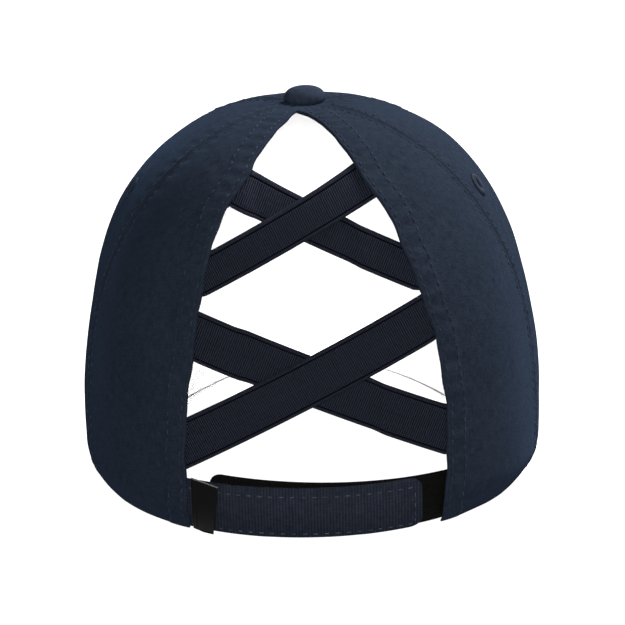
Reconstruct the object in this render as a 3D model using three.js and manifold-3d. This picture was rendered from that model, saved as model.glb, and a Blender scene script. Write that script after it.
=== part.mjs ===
// A ponytail baseball cap, in millimetres. Six cloth panels meet under a covered button, the two
// back panels leave a tall opening for the hair, and four elastic bands cross it in two pairs. A
// cloth strap closes over a black fastening strap below, and a curved peak is sewn to the front.
// The crown is worked out upright: +Z up, the peak towards -Y, the hem's plane at z = 0. At the
// end the cap is tipped onto what it rests on, its back strap and the two low sides of its peak.
import * as THREE from "three";
import { mergeVertices } from "three/addons/utils/BufferGeometryUtils.js";
import Module from "manifold-3d";

// Crown
const CROWN_HEIGHT = 140; // from the hem's plane to the cloth under the button
const CROWN_HALF_WIDTH = 84.5;
const CROWN_BACK_REACH = 98; // from the button's axis to the widest place of the back
const CROWN_FRONT_REACH = 102;
const WIDEST_HEIGHT = 14; // where the crown is widest, above the hem's plane
const HEM_TUCK = 7.2; // how far the hem is drawn in below that
const BACK_FULLNESS = 2.86; // 2 is an ellipse, and more is squarer shouldered
const SIDE_FULLNESS = 2.5;
const FRONT_FULLNESS = 2.35;
const SHOULDER_TURN = { from: 42, to: 85 }; // degrees from the back over which it becomes a side
const CLOTH = 1.2; // wall of a panel
const GAP = 0.3; // clearance between pieces that touch on the real cap
const PANEL_PUFF = 1.3; // how far a panel swells between its seams
const PUFF_START = 0.09; // share of the way down at which it starts, outside the button
const PUFF_FULL = 0.4; // and where it is at its fullest
const PUFF_FADE = 0.8; // and from where it fades away to the hem
const DIMPLE = 1.1; // how far the button pulls the cloth down
const DIMPLE_END = 0.17; // share of the way down at which the cloth is level again

// Seams, as angles about the button's axis from the centre of the back, in degrees
const SIDE_SEAM_TOP_ANGLE = 48;
const SIDE_SEAM_HEM_ANGLE = 77;
const SIDE_SEAM_TURN = { from: 0.15, to: 0.75 }; // shares of the way down between which it turns
const FRONT_SEAM_TOP_ANGLE = 117;
const FRONT_SEAM_HEM_ANGLE = 127;

// Opening for the hair: at places down the crown, half its width and how far its middle lies to
// the left, as shares of its widest half
const OPENING_HALF_WIDTH = 46.2;
const OPENING_EDGE = [
  { down: 0.1, width: 0, lean: 0.07 },
  { down: 0.135, width: 0.058, lean: 0.046 },
  { down: 0.165, width: 0.1, lean: 0.031 },
  { down: 0.2, width: 0.157, lean: 0.025 },
  { down: 0.265, width: 0.259, lean: 0.023 },
  { down: 0.33, width: 0.368, lean: 0.02 },
  { down: 0.37, width: 0.43, lean: 0.02 },
  { down: 0.46, width: 0.645, lean: 0.018 },
  { down: 0.55, width: 0.79, lean: 0.004 },
  { down: 0.65, width: 0.914, lean: -0.03 },
  { down: 0.77, width: 0.997, lean: -0.029 },
  { down: 0.88, width: 1, lean: -0.015 },
  { down: 1, width: 0.975, lean: 0 },
];

// Elastic bands, as seen from behind. The middle of a band's low or high end lies at this share of
// the crown's height, and a lower band's high end lies this far under the end of an upper band.
const UPPER_OVER = { low: 0.663, high: 0.873 };
const UPPER_UNDER = { low: 0.666, high: 0.857 };
const LOWER_OVER = { low: 0.2305 };
const LOWER_UNDER = { low: 0.2557 };
const LOWER_OVER_CLEARANCE = 0.7;
const LOWER_UNDER_CLEARANCE = 4;
const UPPER_BAND_COVER = 14.2; // upright height that a band covers
const LOWER_BAND_COVER = 18.7;
const BAND_THICKNESS = 1.3;
const BAND_TUCK = 6; // how far a band's end lies under the panel
const BAND_BOW = 0.3; // share of the crown's roundness that a stretched band keeps
const BAND_DIP_EASE = 6; // length over which the under band dips to its crossing

// Closing straps, along the hem below the opening
const STRAP_HEIGHT = 20.6;
const STRAP_THICKNESS = 1.6;
const STRAP_TIP = 38; // from the centre to the cloth strap's free tip, on the right
const TAPE_HEIGHT = 20.4;
const TAPE_THICKNESS = 1.4;
const TAPE_TIP = 37; // from the centre to the fastening strap's free tip, on the left
const TAPE_RISE = 1.6; // at the centre, where it lies a little higher than the cloth strap
const TAPE_SLANT = 0.04; // and it lies askew, higher towards its tip
const STRAP_TUCK = 8; // how far a strap's root lies under the panel
const TIP_CORNER = 4.5; // corner radius of a free tip

// Label, sewn in at the left end of the cloth strap
const LABEL_WIDTH = 9.6;
const LABEL_HEIGHT = 21.6;
const LABEL_THICKNESS = 0.8;
const LABEL_DROP = 1.3; // its free side hangs this much lower
const LABEL_TAPER = 2.4; // and is turned in by this much at its lower corner
const LABEL_LIFT = 1.8; // and stands this much off the strap

// Button and eyelets
const BUTTON_RADIUS = 7.6;
const BUTTON_HEIGHT = 5.9;
const BUTTON_RIM = 1.5; // height of its widest place
const BUTTON_UNDERCUT = 0.9; // and how far it is drawn in below that
const BUTTON_STEM_RADIUS = 2;
const BUTTON_BACK_RADIUS = 4.5;
const BUTTON_BACK_THICKNESS = 0.8;
const EYELET_RADIUS = 4.6;
const EYELET_HOLE_RADIUS = 1.8;
const EYELET_BARREL_RADIUS = 3;
const EYELET_PROUD = 0.8;
const EYELET_ROUNDING = 0.24; // how far the ring's edges are rounded off
const EYELETS = [
  { side: 1, across: 0.36, down: 0.45 }, // shares of the way across the side panel from its back
  { side: -1, across: 0.18, down: 0.448 }, // seam, and of the way from the button to the hem
];

// Peak
const PEAK_CORNER_ANGLE = 69; // degrees from the centre of the front to each corner
const CORNER_EASE_ANGLE = 6; // degrees past each corner over which the hem still clears the peak
const PEAK_REACH = 66; // from the hem to its front edge
const PEAK_HALF_WIDTH = 77;
const PEAK_SQUARENESS = 2.3;
const PEAK_THICKNESS = 3;
const PEAK_EDGE_ROUNDING = 0.75; // taken off each face at the outer edge
const PEAK_BEND_RADIUS = 95;
const PEAK_SLOPE_ANGLE = 11; // degrees down towards the front
const PEAK_SEAM_WIDTH = 2.4; // how far it runs in under the crown's hem

// Resting
const REST_PRESS = 0.3; // how much the soft edges that touch the table are pressed flat

// Resolution
const PANEL_COLUMNS = 8;
const PANEL_ROWS = 22;
const HEM_ROWS = 4; // how many of them are below the crown's widest place
const BAND_STEPS = 28;
const BAND_ROWS = 3;
const STRAP_STEPS = 26;
const STRAP_ROWS = 6;
const TIP_CROWDING = 1.35; // 1 spaces a strap's steps evenly
const LABEL_STEPS = 4;
const PEAK_COLUMNS = 28;
const PEAK_ROWS = 8;
const ROUND_SIDES = 24;
const WIDEST_DOWN = 0.9; // share of the way down at which the crown is widest

const wasm = await Module();
wasm.setup();

const radians = THREE.MathUtils.degToRad;
const { lerp, smoothstep } = THREE.MathUtils;

// Materials

function clothOf(name, color, roughness) {
  return new THREE.MeshStandardMaterial({ name, color, roughness, metalness: 0 });
}

const MATERIALS = {
  cloth: clothOf("navy_cloth", 0x232d3b, 0.82),
  thread: clothOf("navy_thread", 0x1f2733, 0.7),
  elastic: clothOf("navy_elastic", 0x191b28, 0.88),
  tape: clothOf("black_tape", 0x141414, 0.92),
  label: clothOf("black_label", 0x121312, 0.75),
};

// Crown surface

// The value of a table's column at a place down the crown, on a smooth curve through its rows.
function alongTable(table, column, down) {
  const last = table.length - 1;
  if (down <= table[0].down) return table[0][column];
  if (down >= table[last].down) return table[last][column];
  const i = table.findIndex((row) => row.down > down) - 1;
  const slopeAt = (k) => {
    const a = table[Math.max(k - 1, 0)];
    const b = table[Math.min(k + 1, last)];
    return (b[column] - a[column]) / (b.down - a.down);
  };
  const span = table[i + 1].down - table[i].down;
  const t = (down - table[i].down) / span;
  const from = table[i][column] * (1 + 2 * t) * (1 - t) ** 2;
  const to = table[i + 1][column] * (3 - 2 * t) * t ** 2;
  const leave = slopeAt(i) * span * t * (1 - t) ** 2;
  const arrive = slopeAt(i + 1) * span * t ** 2 * (t - 1);
  return from + to + leave + arrive;
}

// The peak's upper face, which the front of the hem follows: a slope with a round bend across it.
const hemHalfWidth = CROWN_HALF_WIDTH - HEM_TUCK;
const hemFrontReach = CROWN_FRONT_REACH - HEM_TUCK;
const peakCorner = {
  x: hemHalfWidth * Math.sin(radians(PEAK_CORNER_ANGLE)),
  forward: hemFrontReach * Math.cos(radians(PEAK_CORNER_ANGLE)),
};

function peakTop(x, forward) {
  const bend = (peakCorner.x ** 2 - x ** 2) / (2 * PEAK_BEND_RADIUS);
  return bend - Math.tan(radians(PEAK_SLOPE_ANGLE)) * (forward - peakCorner.forward);
}

// How far the hem rises above its plane: over the peak it follows the peak's bend.
function hemRise(angle, depth) {
  const fromFront = Math.PI - Math.abs(angle);
  if (fromFront >= radians(PEAK_CORNER_ANGLE + CORNER_EASE_ANGLE)) return 0;
  const x = (hemHalfWidth - depth) * Math.sin(fromFront);
  return Math.max(peakTop(x, (hemFrontReach - depth) * Math.cos(fromFront)), 0);
}

function sideSeam(down) {
  const turned = smoothstep(down, SIDE_SEAM_TURN.from, SIDE_SEAM_TURN.to);
  return radians(lerp(SIDE_SEAM_TOP_ANGLE, SIDE_SEAM_HEM_ANGLE, turned));
}

function frontSeam(down) {
  return radians(lerp(FRONT_SEAM_TOP_ANGLE, FRONT_SEAM_HEM_ANGLE, down));
}

// Reach and height of the crown's outline, as shares of its size: a superellipse down to the
// widest place, and below it the hem's tuck, which grows with the square of the way down.
function outline(down, fullness) {
  if (down >= WIDEST_DOWN) {
    const below = (down - WIDEST_DOWN) / (1 - WIDEST_DOWN);
    return { reach: 1, height: 0, below };
  }
  const turn = ((down / WIDEST_DOWN) * Math.PI) / 2;
  const across = Math.sin(turn);
  const up = Math.cos(turn);
  const size = (across ** fullness + up ** fullness) ** (-1 / fullness);
  return { reach: across * size, height: up * size, below: 0 };
}

function fullnessAt(angle) {
  const around = THREE.MathUtils.radToDeg(Math.abs(angle));
  const sideness = smoothstep(around, SHOULDER_TURN.from, SHOULDER_TURN.to);
  const frontness = Math.max(0, -Math.cos(angle)) ** 2;
  return lerp(lerp(BACK_FULLNESS, SIDE_FULLNESS, sideness), FRONT_FULLNESS, frontness);
}

// How far a panel swells between its seams. The back panels' free edges don't swell.
function puff(angle, down) {
  const from = Math.abs(angle);
  const lines = [openingAngle(down), sideSeam(down), frontSeam(down), Math.PI];
  const i = lines.findIndex((line) => from < line);
  if (i < 1) return 0;
  const across = (from - lines[i - 1]) / (lines[i] - lines[i - 1]);
  const along = smoothstep(down, PUFF_START, PUFF_FULL) * (1 - smoothstep(down, PUFF_FADE, 1));
  return PANEL_PUFF * Math.sin(Math.PI * across) * along;
}

// The point of the crown at an angle from the centre of the back (towards +X), a share of the way
// down from the button to the hem, and a depth under the cloth's outer face.
function onCrown(angle, down, depth) {
  const { reach, height, below } = outline(down, fullnessAt(angle));
  const tuck = HEM_TUCK * below ** 2;
  const lengthways = Math.cos(angle) > 0 ? CROWN_BACK_REACH : CROWN_FRONT_REACH;
  const upright = CROWN_HEIGHT - WIDEST_HEIGHT - depth;
  const dimple = DIMPLE * (1 - smoothstep(down, 0, DIMPLE_END));
  return new THREE.Vector3(
    (CROWN_HALF_WIDTH - depth - tuck) * reach * Math.sin(angle),
    (lengthways - depth - tuck) * reach * Math.cos(angle),
    WIDEST_HEIGHT * (1 - below) + upright * height + hemRise(angle, depth) * down ** 3 - dimple,
  );
}

function openingHalfWidth(down) {
  return OPENING_HALF_WIDTH * alongTable(OPENING_EDGE, "width", down);
}

// The angle of the opening's edge on one side. Above the opening the back panels meet here. With
// no side it is the angle without the opening's lean.
function openingAngle(down, side = 0) {
  const lean = alongTable(OPENING_EDGE, "lean", down) * smoothstep(down, 0, OPENING_EDGE[0].down);
  const { reach, below } = outline(down, BACK_FULLNESS);
  const halfWidth = openingHalfWidth(down) + side * OPENING_HALF_WIDTH * lean;
  return Math.asin(halfWidth / ((CROWN_HALF_WIDTH - HEM_TUCK * below ** 2) * reach));
}

// The share of the way down at which the back of the crown has this height.
function downAt(z, depth) {
  if (z <= WIDEST_HEIGHT) return lerp(WIDEST_DOWN, 1, 1 - z / WIDEST_HEIGHT);
  const height = (z - WIDEST_HEIGHT) / (CROWN_HEIGHT - WIDEST_HEIGHT - depth);
  const reach = (1 - height ** BACK_FULLNESS) ** (1 / BACK_FULLNESS);
  return (Math.atan2(reach, height) / (Math.PI / 2)) * WIDEST_DOWN;
}

// The point of the crown's back at this x and z, at a depth under the cloth's outer face.
function onBack(x, z, depth) {
  const { reach, below } = outline(downAt(z, depth), BACK_FULLNESS);
  const tuck = HEM_TUCK * below ** 2;
  const share = x / ((CROWN_HALF_WIDTH - depth - tuck) * reach);
  const y = (CROWN_BACK_REACH - depth - tuck) * reach * Math.sqrt(1 - share ** 2);
  return new THREE.Vector3(x, y, z);
}

// The same point on a surface that cuts across the opening with only a share of its roundness.
function acrossOpening(x, z, depth, bow) {
  const edge = openingHalfWidth(downAt(z, depth));
  const point = onBack(x, z, depth);
  if (Math.abs(x) >= edge) return point;
  const edgeY = onBack(edge, z, depth).y;
  point.y = lerp(edgeY, point.y, bow);
  return point;
}

// Solids

// Six times the volume inside a triangle mesh, which is negative if its faces point inwards.
function signedVolume(vertices, triangles) {
  let sum = 0;
  for (let i = 0; i < triangles.length; i += 3) {
    const [a, b, c] = [0, 1, 2].map((k) => vertices[triangles[i + k]]);
    sum += a.dot(new THREE.Vector3().crossVectors(b, c));
  }
  return sum;
}

function closedMesh(vertices, triangles) {
  if (signedVolume(vertices, triangles) < 0) triangles.reverse();
  const geometry = new THREE.BufferGeometry().setFromPoints(vertices);
  geometry.setIndex(triangles);
  geometry.computeVertexNormals();
  return geometry;
}

// A closed sheet with two faces: place(u, v, face) gives a point for u and v from 0 to 1, with
// face 0 on the outer side and 1 on the inner side.
function sheet(columns, rows, place) {
  const vertices = [];
  const triangles = [];
  const index = (i, j, face) => (face * (rows + 1) + j) * (columns + 1) + i;
  for (const face of [0, 1]) {
    for (let j = 0; j <= rows; j++) {
      for (let i = 0; i <= columns; i++) vertices.push(place(i / columns, j / rows, face));
    }
  }
  const quad = (a, b, c, d) => triangles.push(a, b, c, a, c, d);
  for (let j = 0; j < rows; j++) {
    for (let i = 0; i < columns; i++) {
      quad(index(i, j, 0), index(i + 1, j, 0), index(i + 1, j + 1, 0), index(i, j + 1, 0));
      quad(index(i, j, 1), index(i, j + 1, 1), index(i + 1, j + 1, 1), index(i + 1, j, 1));
    }
    quad(index(0, j, 0), index(0, j + 1, 0), index(0, j + 1, 1), index(0, j, 1));
    quad(index(columns, j, 0), index(columns, j, 1), index(columns, j + 1, 1), index(columns, j + 1, 0));
  }
  for (let i = 0; i < columns; i++) {
    quad(index(i, 0, 0), index(i, 0, 1), index(i + 1, 0, 1), index(i + 1, 0, 0));
    quad(index(i, rows, 0), index(i + 1, rows, 0), index(i + 1, rows, 1), index(i, rows, 1));
  }
  return closedMesh(vertices, triangles);
}

// A geometry as a manifold-3d solid, and back.
function toSolid(geometry) {
  const bare = geometry.clone();
  bare.deleteAttribute("normal");
  bare.deleteAttribute("uv");
  const merged = mergeVertices(bare, 1e-3);
  return new wasm.Manifold(
    new wasm.Mesh({
      numProp: 3,
      vertProperties: merged.attributes.position.array,
      triVerts: new Uint32Array(merged.index.array),
    }),
  );
}

function fromSolid(solid) {
  const { vertProperties, triVerts } = solid.getMesh();
  const geometry = new THREE.BufferGeometry();
  geometry.setAttribute("position", new THREE.BufferAttribute(vertProperties, 3));
  geometry.setIndex(new THREE.BufferAttribute(triVerts, 1));
  geometry.computeVertexNormals();
  return geometry;
}

// A solid turned about +Z from [radius, height] pairs that start and end on the axis.
function turned(profile) {
  const points = profile.map(([radius, height]) => new THREE.Vector2(radius, height));
  return new THREE.LatheGeometry(points, ROUND_SIDES).rotateX(Math.PI / 2);
}

// Panels

const buttonHoleRadius = BUTTON_STEM_RADIUS + GAP;
const panelTop = (Math.atan(buttonHoleRadius / CROWN_HALF_WIDTH) / (Math.PI / 2)) * WIDEST_DOWN;

// Half the gap between two panels, as an angle at this place.
function halfGap(angle, down) {
  const { reach } = outline(down, fullnessAt(angle));
  const radius = Math.hypot(
    CROWN_HALF_WIDTH * reach * Math.cos(angle),
    CROWN_BACK_REACH * reach * Math.sin(angle),
  );
  return GAP / 2 / radius;
}

// One panel between two seam lines, on one side of the cap: +1 is the left, towards +X.
function panel(side, nearLine, farLine) {
  const widestRow = 1 - HEM_ROWS / PANEL_ROWS;
  return sheet(PANEL_COLUMNS, PANEL_ROWS, (u, v, face) => {
    const upper = lerp(panelTop, WIDEST_DOWN, Math.min(v / widestRow, 1));
    const down = upper + (1 - WIDEST_DOWN) * Math.max((v - widestRow) / (1 - widestRow), 0);
    const near = nearLine(down, side);
    const far = farLine(down, side);
    const angle = lerp(near + halfGap(near, down), far - halfGap(far, down), u);
    return onCrown(side * angle, down, face * CLOTH - puff(angle, down));
  });
}

// Where an eyelet sits: a point on the cloth's outer face, and the turn of +Z to the way out of it.
function eyeletSeat(row) {
  const angle = row.side * lerp(sideSeam(row.down), frontSeam(row.down), row.across);
  const at = (a, d) => onCrown(a, d, -puff(a, d));
  const step = 0.01;
  const across = at(angle + step, row.down).sub(at(angle - step, row.down));
  const along = at(angle, row.down + step).sub(at(angle, row.down - step));
  const out = across.cross(along).normalize();
  const position = at(angle, row.down);
  if (out.dot(position) < 0) out.negate();
  const turn = new THREE.Quaternion().setFromUnitVectors(new THREE.Vector3(0, 0, 1), out);
  return { position, turn };
}

function withEyeletHole(geometry, row) {
  const { position, turn } = eyeletSeat(row);
  const radius = EYELET_BARREL_RADIUS + GAP;
  const drill = new THREE.CylinderGeometry(radius, radius, 8 * CLOTH, ROUND_SIDES);
  drill.rotateX(Math.PI / 2).applyQuaternion(turn).translate(...position);
  return fromSolid(toSolid(geometry).subtract(toSolid(drill)));
}

// An eyelet's stitched ring, with a barrel that lines the hole in the cloth.
function eyelet() {
  const profile = [
    [EYELET_HOLE_RADIUS, -CLOTH],
    [EYELET_BARREL_RADIUS, -CLOTH],
    [EYELET_BARREL_RADIUS, GAP],
    [EYELET_RADIUS, GAP],
    [EYELET_RADIUS - EYELET_ROUNDING, GAP + EYELET_PROUD - EYELET_ROUNDING],
    [(EYELET_RADIUS + EYELET_HOLE_RADIUS) / 2, GAP + EYELET_PROUD],
    [EYELET_HOLE_RADIUS + EYELET_ROUNDING, GAP + EYELET_PROUD - EYELET_ROUNDING],
    [EYELET_HOLE_RADIUS, -CLOTH],
  ];
  return turned(profile);
}

// The covered button. Its stem goes down between the panels to a small round back.
function button() {
  const seat = CROWN_HEIGHT - DIMPLE + GAP;
  const back = seat - 2 * GAP - CLOTH;
  const dome = [0, 0.25, 0.5, 0.75, 1].map((share) => {
    const turn = (share * Math.PI) / 2;
    const rise = (BUTTON_HEIGHT - BUTTON_RIM) * Math.sin(turn);
    return [BUTTON_RADIUS * Math.cos(turn), seat + BUTTON_RIM + rise];
  });
  dome[dome.length - 1][0] = 0;
  return turned([
    [0, back - BUTTON_BACK_THICKNESS],
    [BUTTON_BACK_RADIUS, back - BUTTON_BACK_THICKNESS],
    [BUTTON_BACK_RADIUS, back],
    [BUTTON_STEM_RADIUS, back],
    [BUTTON_STEM_RADIUS, seat],
    [BUTTON_RADIUS - BUTTON_UNDERCUT, seat],
    [BUTTON_RADIUS - BUTTON_UNDERCUT / 4, seat + BUTTON_RIM / 2],
    ...dome,
  ]);
}

// Bands and straps

const underCloth = CLOTH + GAP;
const hemEdge = openingHalfWidth(1); // half width of the opening at the hem

// The bands' ends: the heights of their middles at the left and right edges of the opening.
const betweenMiddles = (UPPER_BAND_COVER + LOWER_BAND_COVER) / 2;
const upperOver = {
  left: UPPER_OVER.low * CROWN_HEIGHT,
  right: UPPER_OVER.high * CROWN_HEIGHT,
  cover: UPPER_BAND_COVER,
};
const upperUnder = {
  left: UPPER_UNDER.high * CROWN_HEIGHT,
  right: UPPER_UNDER.low * CROWN_HEIGHT,
  cover: UPPER_BAND_COVER,
};
const lowerOver = {
  left: LOWER_OVER.low * CROWN_HEIGHT,
  right: upperUnder.right - betweenMiddles - LOWER_OVER_CLEARANCE,
  cover: LOWER_BAND_COVER,
};
const lowerUnder = {
  left: upperOver.left - betweenMiddles - LOWER_UNDER_CLEARANCE,
  right: LOWER_UNDER.low * CROWN_HEIGHT,
  cover: LOWER_BAND_COVER,
};

// A band's middle line as seen from behind: straight between the edges and level beyond them.
function bandLine({ left, right }) {
  const leftX = openingHalfWidth(downAt(left, underCloth));
  const rightX = -openingHalfWidth(downAt(right, underCloth));
  const climb = (left - right) / (leftX - rightX);
  const heightAt = (x) => right + climb * (Math.min(Math.max(x, rightX), leftX) - rightX);
  return { leftX, rightX, climb, heightAt };
}

// An elastic band. Its ends lie level under the panels. The under one of a pair dips inwards, on
// layer 1, where it crosses its partner on layer 0.
function band(row, partner, layer) {
  const line = bandLine(row);
  const other = bandLine(partner);
  const crossing = (other.heightAt(0) - line.heightAt(0)) / (line.climb - other.climb);
  const halfCrossing = row.cover / Math.abs(line.climb - other.climb) + GAP;
  return sheet(BAND_STEPS, BAND_ROWS, (u, v, face) => {
    const x = lerp(line.leftX + BAND_TUCK, line.rightX - BAND_TUCK, u);
    const z = line.heightAt(x) + (0.5 - v) * row.cover;
    const past = Math.abs(x - crossing) - halfCrossing;
    const dip = layer * (1 - smoothstep(past, 0, BAND_DIP_EASE)) * (BAND_THICKNESS + GAP);
    return acrossOpening(x, z, underCloth + dip + face * BAND_THICKNESS, BAND_BOW);
  });
}

// How far a strap's edge is cut back at this distance from its free tip, for a round corner.
function cornerCut(distance) {
  if (distance >= TIP_CORNER) return 0;
  return TIP_CORNER - Math.sqrt(TIP_CORNER ** 2 - (TIP_CORNER - distance) ** 2);
}

// Shares along a strap, closer together near the free tip at 1, where its corners are round.
const towardsTip = (u) => 1 - (1 - u) ** TIP_CROWDING;

// A strap along the hem, from its root under a panel to its free tip.
function strap({ rootSide, tip, height, thickness, depth, riseAt }) {
  const root = rootSide * (hemEdge + STRAP_TUCK);
  const end = -rootSide * tip;
  return sheet(STRAP_STEPS, STRAP_ROWS, (u, v, face) => {
    const x = lerp(root, end, towardsTip(u));
    const cut = cornerCut(Math.abs(end - x));
    const z = riseAt(x) + lerp(cut, height - cut, v);
    return onBack(x, z, depth + face * thickness);
  });
}

function clothStrap() {
  return strap({
    rootSide: 1,
    tip: STRAP_TIP,
    height: STRAP_HEIGHT,
    thickness: STRAP_THICKNESS,
    depth: underCloth,
    riseAt: () => 0,
  });
}

function fasteningStrap() {
  return strap({
    rootSide: -1,
    tip: TAPE_TIP,
    height: TAPE_HEIGHT,
    thickness: TAPE_THICKNESS,
    depth: underCloth + STRAP_THICKNESS + GAP,
    riseAt: (x) => TAPE_RISE + TAPE_SLANT * x,
  });
}

// The label lies on the cloth strap, beside the left panel's edge, and its free side hangs away.
function label() {
  const start = hemEdge - CLOTH - GAP;
  return sheet(LABEL_STEPS, LABEL_STEPS, (u, v, face) => {
    const x = start - (LABEL_WIDTH - LABEL_TAPER * (1 - v)) * u;
    const z = v * LABEL_HEIGHT - LABEL_DROP * u;
    const lift = LABEL_LIFT * u ** 2;
    const depth = underCloth - GAP - LABEL_THICKNESS * (1 - face) - lift;
    const point = onBack(x, Math.max(z, 0), depth);
    point.z = z;
    return point;
  });
}

// Peak

// Its grid runs from the seam under the hem to the outer edge, whose plan is a superellipse.
function peak() {
  const length = hemFrontReach - peakCorner.forward + PEAK_REACH;
  const slope = Math.tan(radians(PEAK_SLOPE_ANGLE));
  const hemMiddle = { x: hemHalfWidth - CLOTH / 2, forward: hemFrontReach - CLOTH / 2 };
  return sheet(PEAK_COLUMNS, PEAK_ROWS, (u, v, face) => {
    const across = 2 * u - 1;
    const seam = across * radians(PEAK_CORNER_ANGLE);
    const innerX = (hemMiddle.x - PEAK_SEAM_WIDTH) * Math.sin(seam);
    const innerForward = (hemMiddle.forward - PEAK_SEAM_WIDTH) * Math.cos(seam);
    const turn = (across * Math.PI) / 2;
    const [s, c] = [Math.abs(Math.sin(turn)), Math.abs(Math.cos(turn))];
    const size = (s ** PEAK_SQUARENESS + c ** PEAK_SQUARENESS) ** (-1 / PEAK_SQUARENESS);
    const outerX = PEAK_HALF_WIDTH * s * size * Math.sign(across);
    const outerForward = peakCorner.forward + length * c * size;
    const x = lerp(innerX, outerX, v);
    const forward = lerp(innerForward, outerForward, v);
    const top = new THREE.Vector3(x, -forward, peakTop(x, forward) - GAP);
    const down = new THREE.Vector3(-x / PEAK_BEND_RADIUS, slope, -1).normalize();
    const rounding = v === 1 ? PEAK_EDGE_ROUNDING : 0;
    return top.addScaledVector(down, lerp(rounding, PEAK_THICKNESS - rounding, face));
  });
}

// Resting

// The tilt at which the back strap and the peak's low sides stand on one level surface.
function restTilt(peakGeometry, backContact) {
  const points = peakGeometry.attributes.position;
  let tilt = 0;
  for (let i = 0; i < points.count; i++) {
    tilt = Math.max(tilt, Math.atan2(-points.getZ(i), backContact.y - points.getY(i)));
  }
  return tilt;
}

// Moves a piece from the upright crown's frame onto the table, and presses flat what would sink in.
function settle(geometry, toTable) {
  geometry.applyMatrix4(toTable);
  const points = geometry.attributes.position;
  for (let i = 0; i < points.count; i++) points.setZ(i, Math.max(points.getZ(i), 0));
  geometry.computeVertexNormals();
  return geometry;
}

// Assembly

const pieces = [];
const add = (name, geometry, material) => pieces.push({ name, geometry, material });

const centreFront = () => Math.PI;
for (const row of EYELETS) {
  const { side } = row;
  const word = side > 0 ? "left" : "right";
  add(`back_panel_${word}`, panel(side, openingAngle, sideSeam), MATERIALS.cloth);
  const sidePanel = withEyeletHole(panel(side, sideSeam, frontSeam), row);
  add(`side_panel_${word}`, sidePanel, MATERIALS.cloth);
  add(`front_panel_${word}`, panel(side, frontSeam, centreFront), MATERIALS.cloth);
  const { position, turn } = eyeletSeat(row);
  add(`eyelet_${word}`, eyelet().applyQuaternion(turn).translate(...position), MATERIALS.thread);
}
add("top_button", button(), MATERIALS.cloth);
add("upper_band_over", band(upperOver, upperUnder, 0), MATERIALS.elastic);
add("upper_band_under", band(upperUnder, upperOver, 1), MATERIALS.elastic);
add("lower_band_over", band(lowerOver, lowerUnder, 0), MATERIALS.elastic);
add("lower_band_under", band(lowerUnder, lowerOver, 1), MATERIALS.elastic);
add("closing_strap", clothStrap(), MATERIALS.cloth);
add("fastening_strap", fasteningStrap(), MATERIALS.tape);
add("side_label", label(), MATERIALS.label);
add("peak", peak(), MATERIALS.cloth);

const peakPiece = pieces[pieces.length - 1].geometry;
const backContact = onBack(0, 0, underCloth);
const tilt = restTilt(peakPiece, backContact);
const toTable = new THREE.Matrix4().makeRotationX(-tilt);
const lowest = backContact.clone().applyMatrix4(toTable).z;
toTable.premultiply(new THREE.Matrix4().makeTranslation(0, 0, -lowest - REST_PRESS));

const cap = new THREE.Group();
for (const { name, geometry, material } of pieces) {
  const mesh = new THREE.Mesh(settle(geometry, toTable), material);
  mesh.name = name;
  cap.add(mesh);
}

// The origin is under the middle of the cap's box, on the table.
const middle = new THREE.Box3().setFromObject(cap).getCenter(new THREE.Vector3());
cap.position.set(-middle.x, -middle.y, 0);

export default cap;
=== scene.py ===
"""A ponytail baseball cap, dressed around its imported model.

The cap is worked out upright and in millimetres, as the model's own source does it: +Z up, the
peak towards -Y and the hem's plane at z = 0. A place on the crown is an angle about the button's
axis from the centre of the back (towards +X), the share of the way down from the button to the
hem, and a depth under the cloth's outer face.
"""
import math

import bpy
import numpy as np
from mathutils import Matrix, Vector


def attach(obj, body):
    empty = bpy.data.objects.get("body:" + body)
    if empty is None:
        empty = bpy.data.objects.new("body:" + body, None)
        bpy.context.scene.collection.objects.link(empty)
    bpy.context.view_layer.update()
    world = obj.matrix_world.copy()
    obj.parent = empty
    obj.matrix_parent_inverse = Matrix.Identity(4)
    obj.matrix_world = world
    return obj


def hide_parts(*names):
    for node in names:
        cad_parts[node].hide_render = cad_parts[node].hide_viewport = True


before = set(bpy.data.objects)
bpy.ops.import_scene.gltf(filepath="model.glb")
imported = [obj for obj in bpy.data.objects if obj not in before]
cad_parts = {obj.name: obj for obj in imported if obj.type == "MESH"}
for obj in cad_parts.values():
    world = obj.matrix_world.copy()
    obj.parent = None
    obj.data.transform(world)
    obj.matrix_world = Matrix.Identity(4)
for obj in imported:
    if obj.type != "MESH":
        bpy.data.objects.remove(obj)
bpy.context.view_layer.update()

# The crown, as the model has it
CROWN_HEIGHT = 140
CROWN_HALF_WIDTH = 84.5
CROWN_BACK_REACH = 98
CROWN_FRONT_REACH = 102
WIDEST_HEIGHT = 14
WIDEST_DOWN = 0.9
HEM_TUCK = 7.2
BACK_FULLNESS = 2.86
SIDE_FULLNESS = 2.5
FRONT_FULLNESS = 2.35
SHOULDER_TURN = (42, 85)
CLOTH = 1.2
GAP = 0.3
PANEL_PUFF = 1.3
PUFF_START = 0.09
PUFF_FULL = 0.4
PUFF_FADE = 0.8
DIMPLE = 1.1
DIMPLE_END = 0.17
SIDE_SEAM = (48, 77)
SIDE_SEAM_TURN = (0.15, 0.75)
FRONT_SEAM = (117, 127)

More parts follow.
